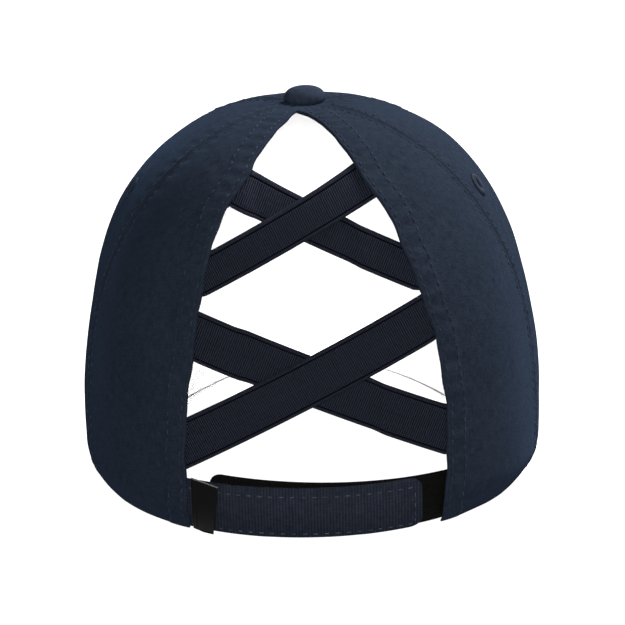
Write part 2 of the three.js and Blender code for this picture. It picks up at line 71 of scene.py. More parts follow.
# Down the crown, the opening's half width and its lean to the left, as shares of the widest half
OPENING_HALF_WIDTH = 46.2
OPENING_EDGE = [
    # down, width, lean
    (0.1, 0, 0.07),
    (0.135, 0.058, 0.046),
    (0.165, 0.1, 0.031),
    (0.2, 0.157, 0.025),
    (0.265, 0.259, 0.023),
    (0.33, 0.368, 0.02),
    (0.37, 0.43, 0.02),
    (0.46, 0.645, 0.018),
    (0.55, 0.79, 0.004),
    (0.65, 0.914, -0.03),
    (0.77, 0.997, -0.029),
    (0.88, 1, -0.015),
    (1, 0.975, 0),
]

# Bands
UPPER_COVER = 14.2  # the height that each upper band covers, measured upright
LOWER_COVER = 18.7
BAND_THICKNESS = 1.3
BAND_TUCK = 6
BAND_STRAIGHT = 2.4  # how far under the panels a band still runs straight
BAND_BOW = 0.3
BAND_DIP_EASE = 6

# Straps and label
STRAP_HEIGHT = 20.6
STRAP_THICKNESS = 1.6
STRAP_TIP = 38
TAPE_HEIGHT = 20.4
TAPE_THICKNESS = 1.4
TAPE_TIP = 37
TAPE_RISE = 1.6
TAPE_SLANT = 0.04
STRAP_TUCK = 8
TIP_CORNER = 4.5
LABEL_WIDTH = 9.6
LABEL_HEIGHT = 21.6
LABEL_THICKNESS = 0.8
LABEL_DROP = 1.3
LABEL_TAPER = 2.4
LABEL_LIFT = 1.8

# Button and eyelets
BUTTON_RADIUS = 7.6
BUTTON_HEIGHT = 5.9
BUTTON_RIM = 1.5
BUTTON_FULLNESS = 2.35
BUTTON_STEM_RADIUS = 2
BUTTON_BACK_RADIUS = 4.5
BUTTON_BACK_THICKNESS = 0.8
EYELET_RADIUS = 4.6
EYELET_HOLE_RADIUS = 1.8
EYELET_BARREL_RADIUS = 3
EYELET_PROUD = 0.8
EYELETS = {1: (0.36, 0.45), -1: (0.18, 0.448)}  # side: share across the side panel, and down

# Peak
PEAK_CORNER_ANGLE = 69
CORNER_EASE_ANGLE = 6
PEAK_REACH = 66
PEAK_HALF_WIDTH = 77
PEAK_SQUARENESS = 2.3
PEAK_THICKNESS = 3
PEAK_BEND_RADIUS = 95
PEAK_SLOPE_ANGLE = 11
PEAK_SEAM_WIDTH = 2.4

# Sewing
STITCH_PITCH = 3.4
STITCH_LENGTH = 2.1
THREAD_RADIUS = 0.22
SEAM_ROW = 3.1  # a seam's stitch rows lie this far to each side of it
FACING_ROW = 7.6  # the row that holds the folded facing of the opening
EDGE_ROW = 1.7
SEAM_GROOVE = 0.24
SEAM_GROOVE_WIDTH = 0.6
SEAM_RIDGE = 0.34  # a swelling beside the seam, and where it is highest
SEAM_RIDGE_PLACE = 1.3
SEAM_RIDGE_WIDTH = 0.8
STITCH_DENT = 0.07
STITCH_DENT_WIDTH = 0.7
PUCKER = 0.13
PUCKER_LENGTH = 6.8
PUCKER_WIDTH = 4
FACING_PUCKER = 0.25
FACING_PUCKER_PLACE = 4.5
FACING_PUCKER_WIDTH = 3.5
CROWN_RUN = 200  # about how far it is down the cloth from the button to the hem
EDGE_WAVES = [(0.26, 61, 1), (0.16, 113, 2.1)]  # the opening's unevenness: size, turn and shift
FACING_RISE = 0.4  # what the folded facing adds to the cloth's height
EDGE_ROUNDING = 0.6
SWELL = 0.3  # soft unevenness of the cloth
SWELL_LENGTH = 42
CRINKLE = 0.05
CRINKLE_LENGTH = 9
GATHER = 0.16  # small folds, and how many there are round the button
CROWN_GATHERS = 19
BUTTON_GATHERS = 17

SIDES = {1: "left", -1: "right"}


def lerp(a, b, share):
    return a + (b - a) * share


def smoothstep(x, low, high):
    share = np.clip((x - low) / (high - low), 0, 1)
    return share * share * (3 - 2 * share)


def hump(x, middle, width):
    return np.exp(-(((x - middle) / width) ** 2))


def rounding(distance, radius):
    """How far a surface has dropped at this distance from an edge rounded to the radius."""
    inside = radius - np.clip(distance, 0, radius)
    return radius - np.sqrt(np.maximum(radius**2 - inside**2, 0))


def unit(vectors):
    return vectors / np.linalg.norm(vectors, axis=-1, keepdims=True)


def normal_of(at, u, v, step):
    """A surface's normal, where at gives its point for u and v."""
    across = at(u + step, v) - at(u - step, v)
    along = at(u, v + step) - at(u, v - step)
    return unit(np.cross(across, along))


def superellipse(across, up, fullness):
    """How far out a superellipse lies in a direction. Fuller ones have squarer corners."""
    return (across**fullness + up**fullness) ** (-1 / fullness)


def full_turn(count):
    """Angles at even steps round a circle."""
    return np.linspace(0, 2 * math.pi, count, endpoint=False)


def ripple(points, length, seed, waves=9):
    """A smooth random swell of about -1 to 1, in waves of about this length."""
    draw = np.random.default_rng(seed)
    total = np.zeros(points.shape[:-1])
    for _ in range(waves):
        direction = draw.normal(size=3)
        direction /= np.linalg.norm(direction)
        turns = points @ direction / (length * draw.uniform(0.7, 1.5))
        total += np.sin(2 * math.pi * (turns + draw.uniform()))
    return total / math.sqrt(waves)


# The crown's surface

HEM_HALF_WIDTH = CROWN_HALF_WIDTH - HEM_TUCK
HEM_FRONT_REACH = CROWN_FRONT_REACH - HEM_TUCK
PEAK_CORNER_X = HEM_HALF_WIDTH * math.sin(math.radians(PEAK_CORNER_ANGLE))
PEAK_CORNER_FORWARD = HEM_FRONT_REACH * math.cos(math.radians(PEAK_CORNER_ANGLE))
EDGE_DOWN, EDGE_WIDTH, EDGE_LEAN = np.array(OPENING_EDGE, float).T


def along_edge(values, down):
    """A column of the opening's table at a place down the crown, on a smooth curve."""
    last = len(EDGE_DOWN) - 1
    place = np.clip(down, EDGE_DOWN[0], EDGE_DOWN[last])
    i = np.clip(np.searchsorted(EDGE_DOWN, place, side="right") - 1, 0, last - 1)
    before, after = np.maximum(i - 1, 0), np.minimum(i + 2, last)
    leave = (values[i + 1] - values[before]) / (EDGE_DOWN[i + 1] - EDGE_DOWN[before])
    arrive = (values[after] - values[i]) / (EDGE_DOWN[after] - EDGE_DOWN[i])
    span = EDGE_DOWN[i + 1] - EDGE_DOWN[i]
    t = (place - EDGE_DOWN[i]) / span
    value = values[i] * (1 + 2 * t) * (1 - t) ** 2 + values[i + 1] * (3 - 2 * t) * t**2
    return value + leave * span * t * (1 - t) ** 2 + arrive * span * t**2 * (t - 1)


def opening_half_width(down):
    return OPENING_HALF_WIDTH * along_edge(EDGE_WIDTH, down)


def peak_top(x, forward):
    bend = (PEAK_CORNER_X**2 - x**2) / (2 * PEAK_BEND_RADIUS)
    return bend - math.tan(math.radians(PEAK_SLOPE_ANGLE)) * (forward - PEAK_CORNER_FORWARD)


def hem_rise(angle, depth):
    from_front = math.pi - np.abs(angle)
    x = (HEM_HALF_WIDTH - depth) * np.sin(from_front)
    rise = np.maximum(peak_top(x, (HEM_FRONT_REACH - depth) * np.cos(from_front)), 0)
    return np.where(from_front >= math.radians(PEAK_CORNER_ANGLE + CORNER_EASE_ANGLE), 0, rise)


def side_seam(down, side=1):
    low, high = np.radians(SIDE_SEAM)
    return lerp(low, high, smoothstep(down, *SIDE_SEAM_TURN))


def front_seam(down, side=1):
    low, high = np.radians(FRONT_SEAM)
    return lerp(low, high, down)


def centre_front(down, side=1):
    return np.full_like(np.asarray(down, float), math.pi)


def outline(down, fullness):
    """Reach and height of the crown's outline as shares, and the share below its widest place."""
    turn = np.clip(down / WIDEST_DOWN, 0, 1) * math.pi / 2
    across, up = np.sin(turn), np.maximum(np.cos(turn), 0)
    size = superellipse(across, up, fullness)
    below = np.maximum((down - WIDEST_DOWN) / (1 - WIDEST_DOWN), 0)
    return across * size, up * size, below


def opening_angle(down, side=0):
    lean = OPENING_HALF_WIDTH * along_edge(EDGE_LEAN, down) * smoothstep(down, 0, EDGE_DOWN[0])
    reach, _, below = outline(down, BACK_FULLNESS)
    half_width = opening_half_width(down) + side * lean
    share = half_width / ((CROWN_HALF_WIDTH - HEM_TUCK * below**2) * reach)
    return np.arcsin(np.clip(share, -1, 1))


def worn_opening(down, side=1):
    """The opening's edge as sewn, a little uneven."""
    waves = [size * np.sin(down * turn + shift * side) for size, turn, shift in EDGE_WAVES]
    unevenness = waves[0] + waves[1]
    return opening_angle(down, side) + unevenness * smoothstep(down, 0.13, 0.2) / CROWN_HALF_WIDTH


def puff(angle, down):
    around = np.abs(angle)
    lines = [opening_angle(down), side_seam(down), front_seam(down), centre_front(down)]
    total = 0
    for near, far in zip(lines[:-1], lines[1:]):
        share = np.clip((around - near) / (far - near), 0, 1)
        total = total + np.sin(math.pi * share)
    along = smoothstep(down, PUFF_START, PUFF_FULL) * (1 - smoothstep(down, PUFF_FADE, 1))
    return PANEL_PUFF * total * along


def on_crown(angle, down, depth):
    """Points of the crown at an angle, a share of the way down and a depth under its face."""
    sideness = smoothstep(np.degrees(np.abs(angle)), *SHOULDER_TURN)
    frontness = np.maximum(0, -np.cos(angle)) ** 2
    fullness = lerp(lerp(BACK_FULLNESS, SIDE_FULLNESS, sideness), FRONT_FULLNESS, frontness)
    reach, height, below = outline(down, fullness)
    tuck = HEM_TUCK * below**2
    lengthways = np.where(np.cos(angle) > 0, CROWN_BACK_REACH, CROWN_FRONT_REACH)
    x = (CROWN_HALF_WIDTH - depth - tuck) * reach * np.sin(angle)
    y = (lengthways - depth - tuck) * reach * np.cos(angle)
    z = WIDEST_HEIGHT * (1 - below) + (CROWN_HEIGHT - WIDEST_HEIGHT - depth) * height
    z = z + hem_rise(angle, depth) * down**3 - DIMPLE * (1 - smoothstep(down, 0, DIMPLE_END))
    return np.stack(np.broadcast_arrays(x, y, z), axis=-1)


def down_at(z, depth):
    """The share of the way down at which the back of the crown has this height."""
    height = np.maximum(z - WIDEST_HEIGHT, 0) / (CROWN_HEIGHT - WIDEST_HEIGHT - depth)
    reach = np.maximum(1 - height**BACK_FULLNESS, 0) ** (1 / BACK_FULLNESS)
    upper = np.arctan2(reach, height) / (math.pi / 2) * WIDEST_DOWN
    return np.where(z <= WIDEST_HEIGHT, lerp(WIDEST_DOWN, 1, 1 - z / WIDEST_HEIGHT), upper)


def on_back(x, z, depth):
    reach, _, below = outline(down_at(z, depth), BACK_FULLNESS)
    tuck = HEM_TUCK * below**2
    share = x / ((CROWN_HALF_WIDTH - depth - tuck) * reach)
    y = (CROWN_BACK_REACH - depth - tuck) * reach * np.sqrt(np.maximum(1 - share**2, 0))
    return np.stack(np.broadcast_arrays(x, y, z), axis=-1)


def across_opening(x, z, depth, bow):
    edge = opening_half_width(down_at(z, depth))
    points = on_back(x, z, depth)
    edge_y = on_back(edge, z, depth)[..., 1]
    points[..., 1] = np.where(
        np.abs(x) < edge, lerp(edge_y, points[..., 1], bow), points[..., 1]
    )
    return points


# From the upright crown in millimetres to the frame in metres


def upright_to_frame():
    """Read off the top button, whose axis is the crown's own."""
    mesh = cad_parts["top_button"].data
    flat = np.empty(3 * len(mesh.vertices))
    mesh.vertices.foreach_get("co", flat)
    points = np.unique(np.round(flat.reshape(-1, 3), 5), axis=0)
    apex = points[points[:, 2].argmax()]
    axis = apex - points.mean(axis=0)
    tilt = math.atan2(axis[1], axis[2])
    turn = Matrix.Rotation(-tilt, 4, "X") @ Matrix.Scale(0.001, 4)
    apex_height = CROWN_HEIGHT - DIMPLE + GAP + BUTTON_HEIGHT
    origin = Vector(apex) - turn @ Vector((0, 0, apex_height))
    return Matrix.Translation(origin) @ turn


TO_FRAME = upright_to_frame()


def in_frame(points):
    """Upright points as frame points, with what would sink into the table pressed flat on it."""
    matrix = np.array(TO_FRAME)
    placed = points.reshape(-1, 3) @ matrix[:3, :3].T + matrix[:3, 3]
    placed[:, 2] = np.maximum(placed[:, 2], 0)
    return placed


# Meshes


def sheet_faces(columns, rows):
    """Quads of a closed sheet of two faces, and a part number for each: 0 outer and 1 inner, then
    the rims at the first row, the last row, the first column and the last column."""
    i, j = np.meshgrid(np.arange(columns), np.arange(rows), indexing="ij")
    i, j, a, b = i.ravel(), j.ravel(), np.arange(columns), np.arange(rows)
    blocks = [
        [(i, j, 0), (i + 1, j, 0), (i + 1, j + 1, 0), (i, j + 1, 0)],
        [(i, j, 1), (i, j + 1, 1), (i + 1, j + 1, 1), (i + 1, j, 1)],
        [(a, 0, 0), (a, 0, 1), (a + 1, 0, 1), (a + 1, 0, 0)],
        [(a, rows, 0), (a + 1, rows, 0), (a + 1, rows, 1), (a, rows, 1)],
        [(0, b, 0), (0, b + 1, 0), (0, b + 1, 1), (0, b, 1)],
        [(columns, b, 0), (columns, b, 1), (columns, b + 1, 1), (columns, b + 1, 0)],
    ]
    index = lambda column, row, face: (face * (rows + 1) + row) * (columns + 1) + column
    quads = [np.stack([index(*corner) for corner in block], 1) for block in blocks]
    part = np.concatenate([np.full(len(block), n) for n, block in enumerate(quads)])
    return np.concatenate(quads), part


def volume_of(points, quads):
    a, b, c, d = (points[quads[:, k]] for k in range(4))
    first = np.einsum("ij,ij->i", a, np.cross(b, c)).sum()
    return first + np.einsum("ij,ij->i", a, np.cross(c, d)).sum()


def linked(name, data):
    thing = bpy.data.objects.new(name, data)
    bpy.context.scene.collection.objects.link(thing)
    return thing


def make_piece(name, points, quads, uv, materials, replaces=(), part=None):
    """A mesh piece that rides on the cap. points are upright, uv is in millimetres."""
    placed = in_frame(points)
    if volume_of(placed, quads) < 0:
        quads = quads[:, ::-1]
    mesh = bpy.data.meshes.new(name)
    mesh.from_pydata(placed.tolist(), [], quads.tolist())
    layer = mesh.uv_layers.new(name="weave")
    loops = np.empty(len(mesh.loops), int)
    mesh.loops.foreach_get("vertex_index", loops)
    layer.data.foreach_set("uv", uv.reshape(-1, 2)[loops].astype(np.float32).ravel())
    for material in materials:
        mesh.materials.append(material)
    if part is not None:
        mesh.polygons.foreach_set("material_index", part.astype(np.int32))
    mesh.shade_smooth()
    piece = linked(name, mesh)
    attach(piece, "root")
    if replaces:
        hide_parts(*replaces)
    return piece


def travelled(points, axis):
    """Distance travelled along one axis of a grid of points."""
    steps = np.linalg.norm(np.diff(points, axis=axis), axis=-1)
    first = np.zeros_like(np.take(steps, [0], axis=axis))
    return np.cumsum(np.concatenate([first, steps], axis=axis), axis=axis)


def sheet_piece(name, outer, inner, materials, replaces, second=(), uv=None):
    """A closed sheet from two grids of points, rows first. The parts in second have the second
    material. Without a uv of its own, it is the distance travelled across and along."""
    rows, columns = outer.shape[0] - 1, outer.shape[1] - 1
    quads, part = sheet_faces(columns, rows)
    if uv is None:
        across = travelled(outer, 1)
        across = across - across[:, columns // 2 : columns // 2 + 1]
        uv = (across, travelled(outer[:, columns // 2], 0)[:, None])
    uv = np.stack(np.broadcast_arrays(*uv), axis=-1).reshape(-1, 2)
    points = np.concatenate([outer.reshape(-1, 3), inner.reshape(-1, 3)])
    faces = np.isin(part, second).astype(int)
    return make_piece(name, points, quads, np.concatenate([uv, uv]), materials, replaces, faces)


def ring_faces(around, along):
    """Quads of a tube that closes on itself around, and is open along."""
    i, j = np.meshgrid(np.arange(around), np.arange(along - 1), indexing="ij")
    i, j = i.ravel(), j.ravel()
    after = (i + 1) % around
    return np.stack([i * along + j, after * along + j, after * along + j + 1, i * along + j + 1], 1)


# Materials


class Tree:
    """A material's node tree, with short ways to add to it."""

    def __init__(self, name):
        self.material = bpy.data.materials.new(name)
        self.material.use_nodes = True
        self.nodes = self.material.node_tree.nodes
        self.links = self.material.node_tree.links
        self.shader = self.nodes["Principled BSDF"]

    def set(self, node, name, value):
        socket = node.inputs[name]
        if isinstance(value, bpy.types.NodeSocket):
            self.links.new(value, socket)
        else:
            socket.default_value = value

    def add(self, kind, inputs, **settings):
        node = self.nodes.new(kind)
        for key, value in settings.items():
            setattr(node, key, value)
        for key, value in inputs.items():
            self.set(node, key, value)
        return node

    def math(self, operation, *values):
        return self.add("ShaderNodeMath", dict(enumerate(values)), operation=operation).outputs[0]

    def weave_uv(self):
        """U and V in millimetres of cloth."""
        uv = self.add("ShaderNodeUVMap", {}, uv_map="weave").outputs["UV"]
        split = self.add("ShaderNodeSeparateXYZ", {"Vector": uv})
        return uv, split.outputs["X"], split.outputs["Y"]

    def wave(self, along, pitch):
        """A wave from 0 to 1 along a coordinate."""
        turn = self.math("MULTIPLY", along, 2 * math.pi / pitch)
        return self.math("MULTIPLY_ADD", self.math("SINE", turn), 0.5, 0.5)

    def noise(self, vector, size, detail=3.0, roughness=0.55):
        """Noise with features of about this size, in the vector's unit."""
        inputs = {"Vector": vector, "Scale": 1 / size, "Detail": detail, "Roughness": roughness}
        return self.add("ShaderNodeTexNoise", inputs).outputs["Fac"]

    def streaks(self, across, along, width, length):
        """Noise drawn out along the second coordinate, as uneven yarns are."""
        across = self.math("DIVIDE", across, width)
        along = self.math("DIVIDE", along, length)
        vector = self.add("ShaderNodeCombineXYZ", {"X": across, "Y": along}).outputs[0]
        return self.noise(vector, 1.0, 3.0, 0.6)

    def mix(self, share, a, b):
        inputs = {"Factor": share, 6: a, 7: b}
        return self.add("ShaderNodeMix", inputs, data_type="RGBA").outputs[2]

    def between(self, value, low, high, to_low=0.0, to_high=1.0):
        inputs = {0: value, 1: low, 2: high, 3: to_low, 4: to_high}
        return self.add("ShaderNodeMapRange", inputs).outputs[0]

    def bump(self, height, millimetres, strength=1.0):
        inputs = {"Height": height, "Distance": millimetres / 1000, "Strength": strength}
        return self.add("ShaderNodeBump", inputs).outputs["Normal"]

    def finish(self, **inputs):
        for key, value in inputs.items():
            self.set(self.shader, key.replace("_", " "), value)
        return self.material


def shade(colour, factor):
    return (colour[0] * factor, colour[1] * factor, colour[2] * factor, 1)


NAVY = (0.0043, 0.0058, 0.0089)
# the button's cloth is the crown's navy painted lighter: painted light on the button's dome
LIT_BUTTON_NAVY = (0.0062, 0.0084, 0.0128)
STRAP_NAVY = (0.0059, 0.007, 0.0102)
NAVY_SHEEN = (0.3, 0.5, 0.9, 1)
ELASTIC_NAVY = (0.0019, 0.0022, 0.0033)
THREAD_NAVY = (0.0056, 0.0076, 0.0118)
EYELET_NAVY = (0.0034, 0.0049, 0.0081)
PALE_THREAD = (0.0135, 0.0165, 0.023)
TAPE_BLACK = (0.0009, 0.0009, 0.0007)
LABEL_BLACK = (0.0011, 0.0011, 0.0011)
BACKING_WHITE = (0.88, 0.88, 0.875)
RIB_PITCH = 0.78  # of the elastic's crosswise ribs
CORD_WIDTH = 1.35  # of the smoother edges on both sides of them
STRAP_RIB_PITCH = 1.1


def yarn_tone(tree, across, along):
    """0 to 1: yarns of uneven thickness both ways, and a mottle between them."""
    warp = tree.streaks(across, along, 0.5, 3.6)
    weft = tree.streaks(along, across, 0.5, 3.6)
    both = tree.math("ADD", warp, weft)
    mottle = tree.noise(tree.weave_uv()[0], 3.4, 3.0, 0.6)
    return tree.between(tree.math("MULTIPLY_ADD", mottle, 0.6, both), 0.95, 1.65)


def twill_cloth(name, colour, strap_rib_shade=0.0):
    """Fine diagonal cloth with slubs and a soft uneven tone, painted darker in the twill's valleys and
    lighter on its ridges.
    """
    tree = Tree(name)
    uv, across, along = tree.weave_uv()
    diagonal = tree.math("ADD", across, tree.math("MULTIPLY", along, 0.8))
    twill = tree.wave(diagonal, 0.62)
    height = tree.math("MULTIPLY_ADD", twill, 0.4, yarn_tone(tree, across, along))
    broad = tree.between(tree.noise(uv, 26.0, 3.0), 0.3, 0.7)
    low = tree.mix(broad, shade(colour, 0.53), shade(colour, 0.66))
    high = tree.mix(broad, shade(colour, 1.4), shade(colour, 1.56))
    # the colour follows the weave's height: the yarns' uneven tone, with painted shade in the twill's
    # valleys and painted light on its ridges
    cloth = tree.mix(tree.between(height, 0.1, 1.3), low, high)
    if strap_rib_shade:
        # painted shade: the strap's cloth is darkened in stripes that follow its ribs
        painted_rib_shade = tree.math("MULTIPLY", tree.wave(across, STRAP_RIB_PITCH), strap_rib_shade)
        cloth = tree.mix(painted_rib_shade, cloth, shade(colour, 0.2))
    return tree.finish(
        Base_Color=cloth,
        Roughness=0.85,
        Sheen_Weight=0.014,
        Sheen_Roughness=0.4,
        Sheen_Tint=NAVY_SHEEN,
        Specular_IOR_Level=0.0,
        Normal=tree.bump(height, 0.12, 0.7),
    )


def elastic_knit():
    """Covered elastic: U runs along it, and V is the distance to its nearest edge."""
    tree = Tree("elastic_knit")
    uv, along, edge = tree.weave_uv()
    rib = tree.wave(along, RIB_PITCH)
    yarn = tree.wave(edge, 0.62)
    fuzz = tree.noise(uv, 1.0, 3.0, 0.7)
    inner = tree.between(edge, CORD_WIDTH - 0.15, CORD_WIDTH + 0.2)
    # painted shade: a dark line along the groove between each edge cord and the ribs
    groove = tree.math("ABSOLUTE", tree.math("SUBTRACT", edge, CORD_WIDTH + 0.12))
    groove = tree.between(groove, 0.3, 0.12)
    ribs = tree.math("MULTIPLY_ADD", rib, 0.66, tree.math("MULTIPLY", yarn, 0.34))
    cord = tree.math("MULTIPLY_ADD", rib, 0.35, 0.32)
    tone = tree.add("ShaderNodeMix", {"Factor": inner, 2: cord, 3: ribs}).outputs[0]
    height = tree.math("MULTIPLY_ADD", fuzz, 0.8, tone)
    # painted light and shade: the colour follows the ribs' height, from near black in the hollows between
    # them to pale on their crests, with the fuzz's random tone
    share = tree.between(height, 0.5, 1.3)
    colour = tree.mix(share, shade(ELASTIC_NAVY, 0.08), shade(ELASTIC_NAVY, 3.9))
    colour = tree.mix(groove, colour, shade(ELASTIC_NAVY, 0.12))
    return tree.finish(
        Base_Color=colour,
        Roughness=0.86,
        Sheen_Weight=0.008,
        Sheen_Roughness=0.5,
        Sheen_Tint=(0.55, 0.55, 0.8, 1),
        Specular_IOR_Level=0.0,
        Normal=tree.bump(height, 0.14, 0.7),
    )


def sewing_thread(name, thread):
    tree = Tree(name)
    place = tree.add("ShaderNodeTexCoord", {}).outputs["Object"]
    tone = tree.between(tree.noise(place, 0.005, 2.0), 0.35, 0.65)
    twist = tree.noise(place, 0.0003, 2.0)
    return tree.finish(
        Base_Color=tree.mix(tone, shade(thread, 0.6), shade(thread, 1.4)),
        Roughness=0.6,
        Sheen_Weight=0.02,
        Sheen_Tint=NAVY_SHEEN,
        Specular_IOR_Level=0.02,
        Normal=tree.bump(twist, 0.05, 0.6),
    )


def loop_tape():
    """The fastening strap's loop pile."""
    tree = Tree("loop_tape")
    uv, _, _ = tree.weave_uv()
    loops = tree.add("ShaderNodeTexVoronoi", {"Vector": uv, "Scale": 1.9}).outputs["Distance"]
    fuzz = tree.noise(uv, 0.5, 4.0, 0.7)
    height = tree.math("MULTIPLY_ADD", loops, -0.8, fuzz)
    colour = tree.mix(tree.between(height, -0.3, 0.5), shade(TAPE_BLACK, 0.5), shade(TAPE_BLACK, 1.8))
    return tree.finish(
        Base_Color=colour,
        Roughness=0.92,
        Specular_IOR_Level=0.02,
        Normal=tree.bump(height, 0.35, 0.8),
    )


def woven_label():
    """Smooth woven label, with a painted highlight along its cut top edge."""
    tree = Tree("woven_label")
    uv, _, along = tree.weave_uv()
    line = tree.wave(along, 0.3)
    fine = tree.noise(uv, 0.8, 3.0)
    height = tree.math("MULTIPLY_ADD", line, 0.6, fine)
    cloth = tree.mix(fine, shade(LABEL_BLACK, 0.8), shade(LABEL_BLACK, 1.5))
    # painted highlight: the colour turns pale grey along the label's top edge
    edge = tree.between(along, 0.75, 0.45)
    colour = tree.mix(edge, cloth, (0.05, 0.05, 0.05, 1))
    return tree.finish(
        Base_Color=colour,
        Roughness=0.6,
        Specular_IOR_Level=0.02,
        Normal=tree.bump(height, 0.06, 0.6),
    )


def fused_backing():
    """The open-weave stiffening behind the front panels."""
    tree = Tree("fused_backing")
    uv, across, along = tree.weave_uv()
    mesh = tree.math("MULTIPLY", tree.wave(across, 1.1), tree.wave(along, 1.1))
    fuzz = tree.noise(uv, 2.0, 4.0, 0.6)
    height = tree.math("MULTIPLY_ADD", fuzz, 0.5, mesh)
    colour = tree.mix(mesh, shade(BACKING_WHITE, 0.93), shade(BACKING_WHITE, 1.05))
    return tree.finish(
        Base_Color=colour, Roughness=0.9, Specular_IOR_Level=0.2, Normal=tree.bump(height, 0.1, 0.5)
    )


CLOTH_LOOK = twill_cloth("navy_twill", NAVY)
LIT_BUTTON_LOOK = twill_cloth("navy_button_cloth_painted_light", LIT_BUTTON_NAVY)
STRAP_LOOK = twill_cloth("navy_ribbed_cloth", STRAP_NAVY, 0.5)
ELASTIC_LOOK = elastic_knit()
THREAD_LOOK = sewing_thread("navy_thread", THREAD_NAVY)
EYELET_LOOK = sewing_thread("navy_embroidery", EYELET_NAVY)
PALE_THREAD_LOOK = sewing_thread("pale_navy_thread", PALE_THREAD)
TAPE_LOOK = loop_tape()
LABEL_LOOK = woven_label()
BACKING_LOOK = fused_backing()


# Panels

ANGLE_STEP = 1e-3  # for slopes, in radians and in shares of the way down


class Panel:
    """One cloth panel between two lines down the crown, on one side of the cap."""

    def __init__(self, word, side, near, far, backed=()):
        self.word = word
        self.side = side
        self.near = near
        self.far = far
        self.backed = backed

    def across_scale(self, line, down):
        """Millimetres across the cloth, square to a line, for each radian about the axis."""
        step = ANGLE_STEP
        angle = line(down, self.side)
        across = on_crown(angle + step, down, 0) - on_crown(angle - step, down, 0)
        ahead = on_crown(line(down + step, self.side), down + step, 0)
        along = ahead - on_crown(line(down - step, self.side), down - step, 0)
        return np.linalg.norm(np.cross(across, unit(along)), axis=-1) / (2 * step)

    def distances(self, angle, down):
        from_near = (angle - self.near(down, self.side)) * self.across_scale(self.near, down)
        from_far = (self.far(down, self.side) - angle) * self.across_scale(self.far, down)
        return from_near, from_far

    def openness(self, down):
        """1 where the near line is the opening's free edge, and 0 where it is a seam."""
        if self.near is not worn_opening:
            return 0 * down
        return smoothstep(down, EDGE_DOWN[0] - 0.01, EDGE_DOWN[0] + 0.02)

    def soft_lift(self, angle, down):
        """How far the whole cloth swells out, inner face and outer."""
        from_near, from_far = self.distances(angle, down)
        inside = smoothstep(np.minimum(from_near, from_far), 1, 16)
        swell = ripple(on_crown(self.side * angle, down, 0), SWELL_LENGTH, 11)
        return puff(angle, down) + SWELL * swell * inside

    def fine_lift(self, angle, down):
        """What seams, stitching and folds add to the outer face."""
        from_near, from_far = self.distances(angle, down)
        points = on_crown(self.side * angle, down, 0)
        openness = self.openness(down)
        near = seam_lift(from_near, down, 1.3 * self.side)
        near = lerp(near, facing_lift(from_near, down, self.side), openness)
        lift = near + seam_lift(from_far, down, 2.7 + self.side)
        lift = lift + CRINKLE * ripple(points, CRINKLE_LENGTH, 23) + button_gathers(angle, down)
        return lift - rounding(hem_distance(down), EDGE_ROUNDING)

    def edge_rounding(self, angle, down):
        from_near, _ = self.distances(angle, down)
        fold = self.openness(down) * rounding(from_near, EDGE_ROUNDING)
        return fold + rounding(hem_distance(down), EDGE_ROUNDING)

    def outer(self, angle, down):
        lift = self.soft_lift(angle, down) + self.fine_lift(angle, down)
        return on_crown(self.side * angle, down, -lift)

    def inner(self, angle, down):
        depth = CLOTH - self.soft_lift(angle, down) - self.edge_rounding(angle, down)
        return on_crown(self.side * angle, down, depth)

    def outward(self, angle, down):
        at = lambda a, d: on_crown(self.side * a, d, -puff(a, d))
        normal = normal_of(at, angle, down, ANGLE_STEP)
        outwards = np.sign((normal * (at(angle, down) - (0, 0, WIDEST_HEIGHT))).sum(-1, keepdims=True))
        return normal * outwards

    def row(self, line, distance, top, bottom):
        """A path on the cloth that follows the near or far line, with its outward directions."""
        down = np.linspace(top, bottom, 600)
        inwards = 1 if line is self.near else -1
        angle = line(down, self.side) + inwards * distance / self.across_scale(line, down)
        return self.outer(angle, down), self.outward(angle, down)


def hem_distance(down):
    return (1 - down) * WIDEST_HEIGHT / (1 - WIDEST_DOWN)


def puckers(down, seed):
    along = down * CROWN_RUN
    return np.sin(2 * math.pi * along / PUCKER_LENGTH + 2.2 * np.sin(along / 17 + seed))


def seam_lift(distance, down, seed):
    groove = -SEAM_GROOVE * hump(distance, 0, SEAM_GROOVE_WIDTH)
    ridge = SEAM_RIDGE * hump(distance, SEAM_RIDGE_PLACE, SEAM_RIDGE_WIDTH)
    dent = -STITCH_DENT * hump(distance, SEAM_ROW, STITCH_DENT_WIDTH)
    pucker = PUCKER * puckers(down, seed) * hump(distance, SEAM_ROW + 1.5, PUCKER_WIDTH)
    return (groove + ridge + dent + pucker) * smoothstep(down, 0.02, 0.1)


def facing_lift(distance, down, seed):
    rise = FACING_RISE * (1 - smoothstep(distance, FACING_ROW + 0.2, FACING_ROW + 1.6))
    dent = -STITCH_DENT * (hump(distance, FACING_ROW, 0.8) + hump(distance, EDGE_ROW, 0.6))
    reach = hump(distance, FACING_PUCKER_PLACE, FACING_PUCKER_WIDTH)
    pucker = FACING_PUCKER * puckers(down, seed) * reach
    return rise + dent + pucker - rounding(distance, EDGE_ROUNDING)


def button_gathers(angle, down):
    """Small folds that run out from under the button."""
    ring = smoothstep(down, 0.03, 0.06) * (1 - smoothstep(down, 0.08, 0.16))
    return GATHER * ring * np.sin(CROWN_GATHERS * angle + 2 * np.sin(5 * angle))


PANEL_HALF_COLUMNS = 28
PANEL_CROWDING = 1.7
PANEL_ROWS = 150
BUTTON_HOLE = BUTTON_STEM_RADIUS + GAP
PANEL_TOP = math.atan(BUTTON_HOLE / CROWN_HALF_WIDTH) / (math.pi / 2) * WIDEST_DOWN
SEAM_LAP = 0.03  # how far two sewn panels run into each other
BACKED_PARTS = (1,)  # a front panel's inner face

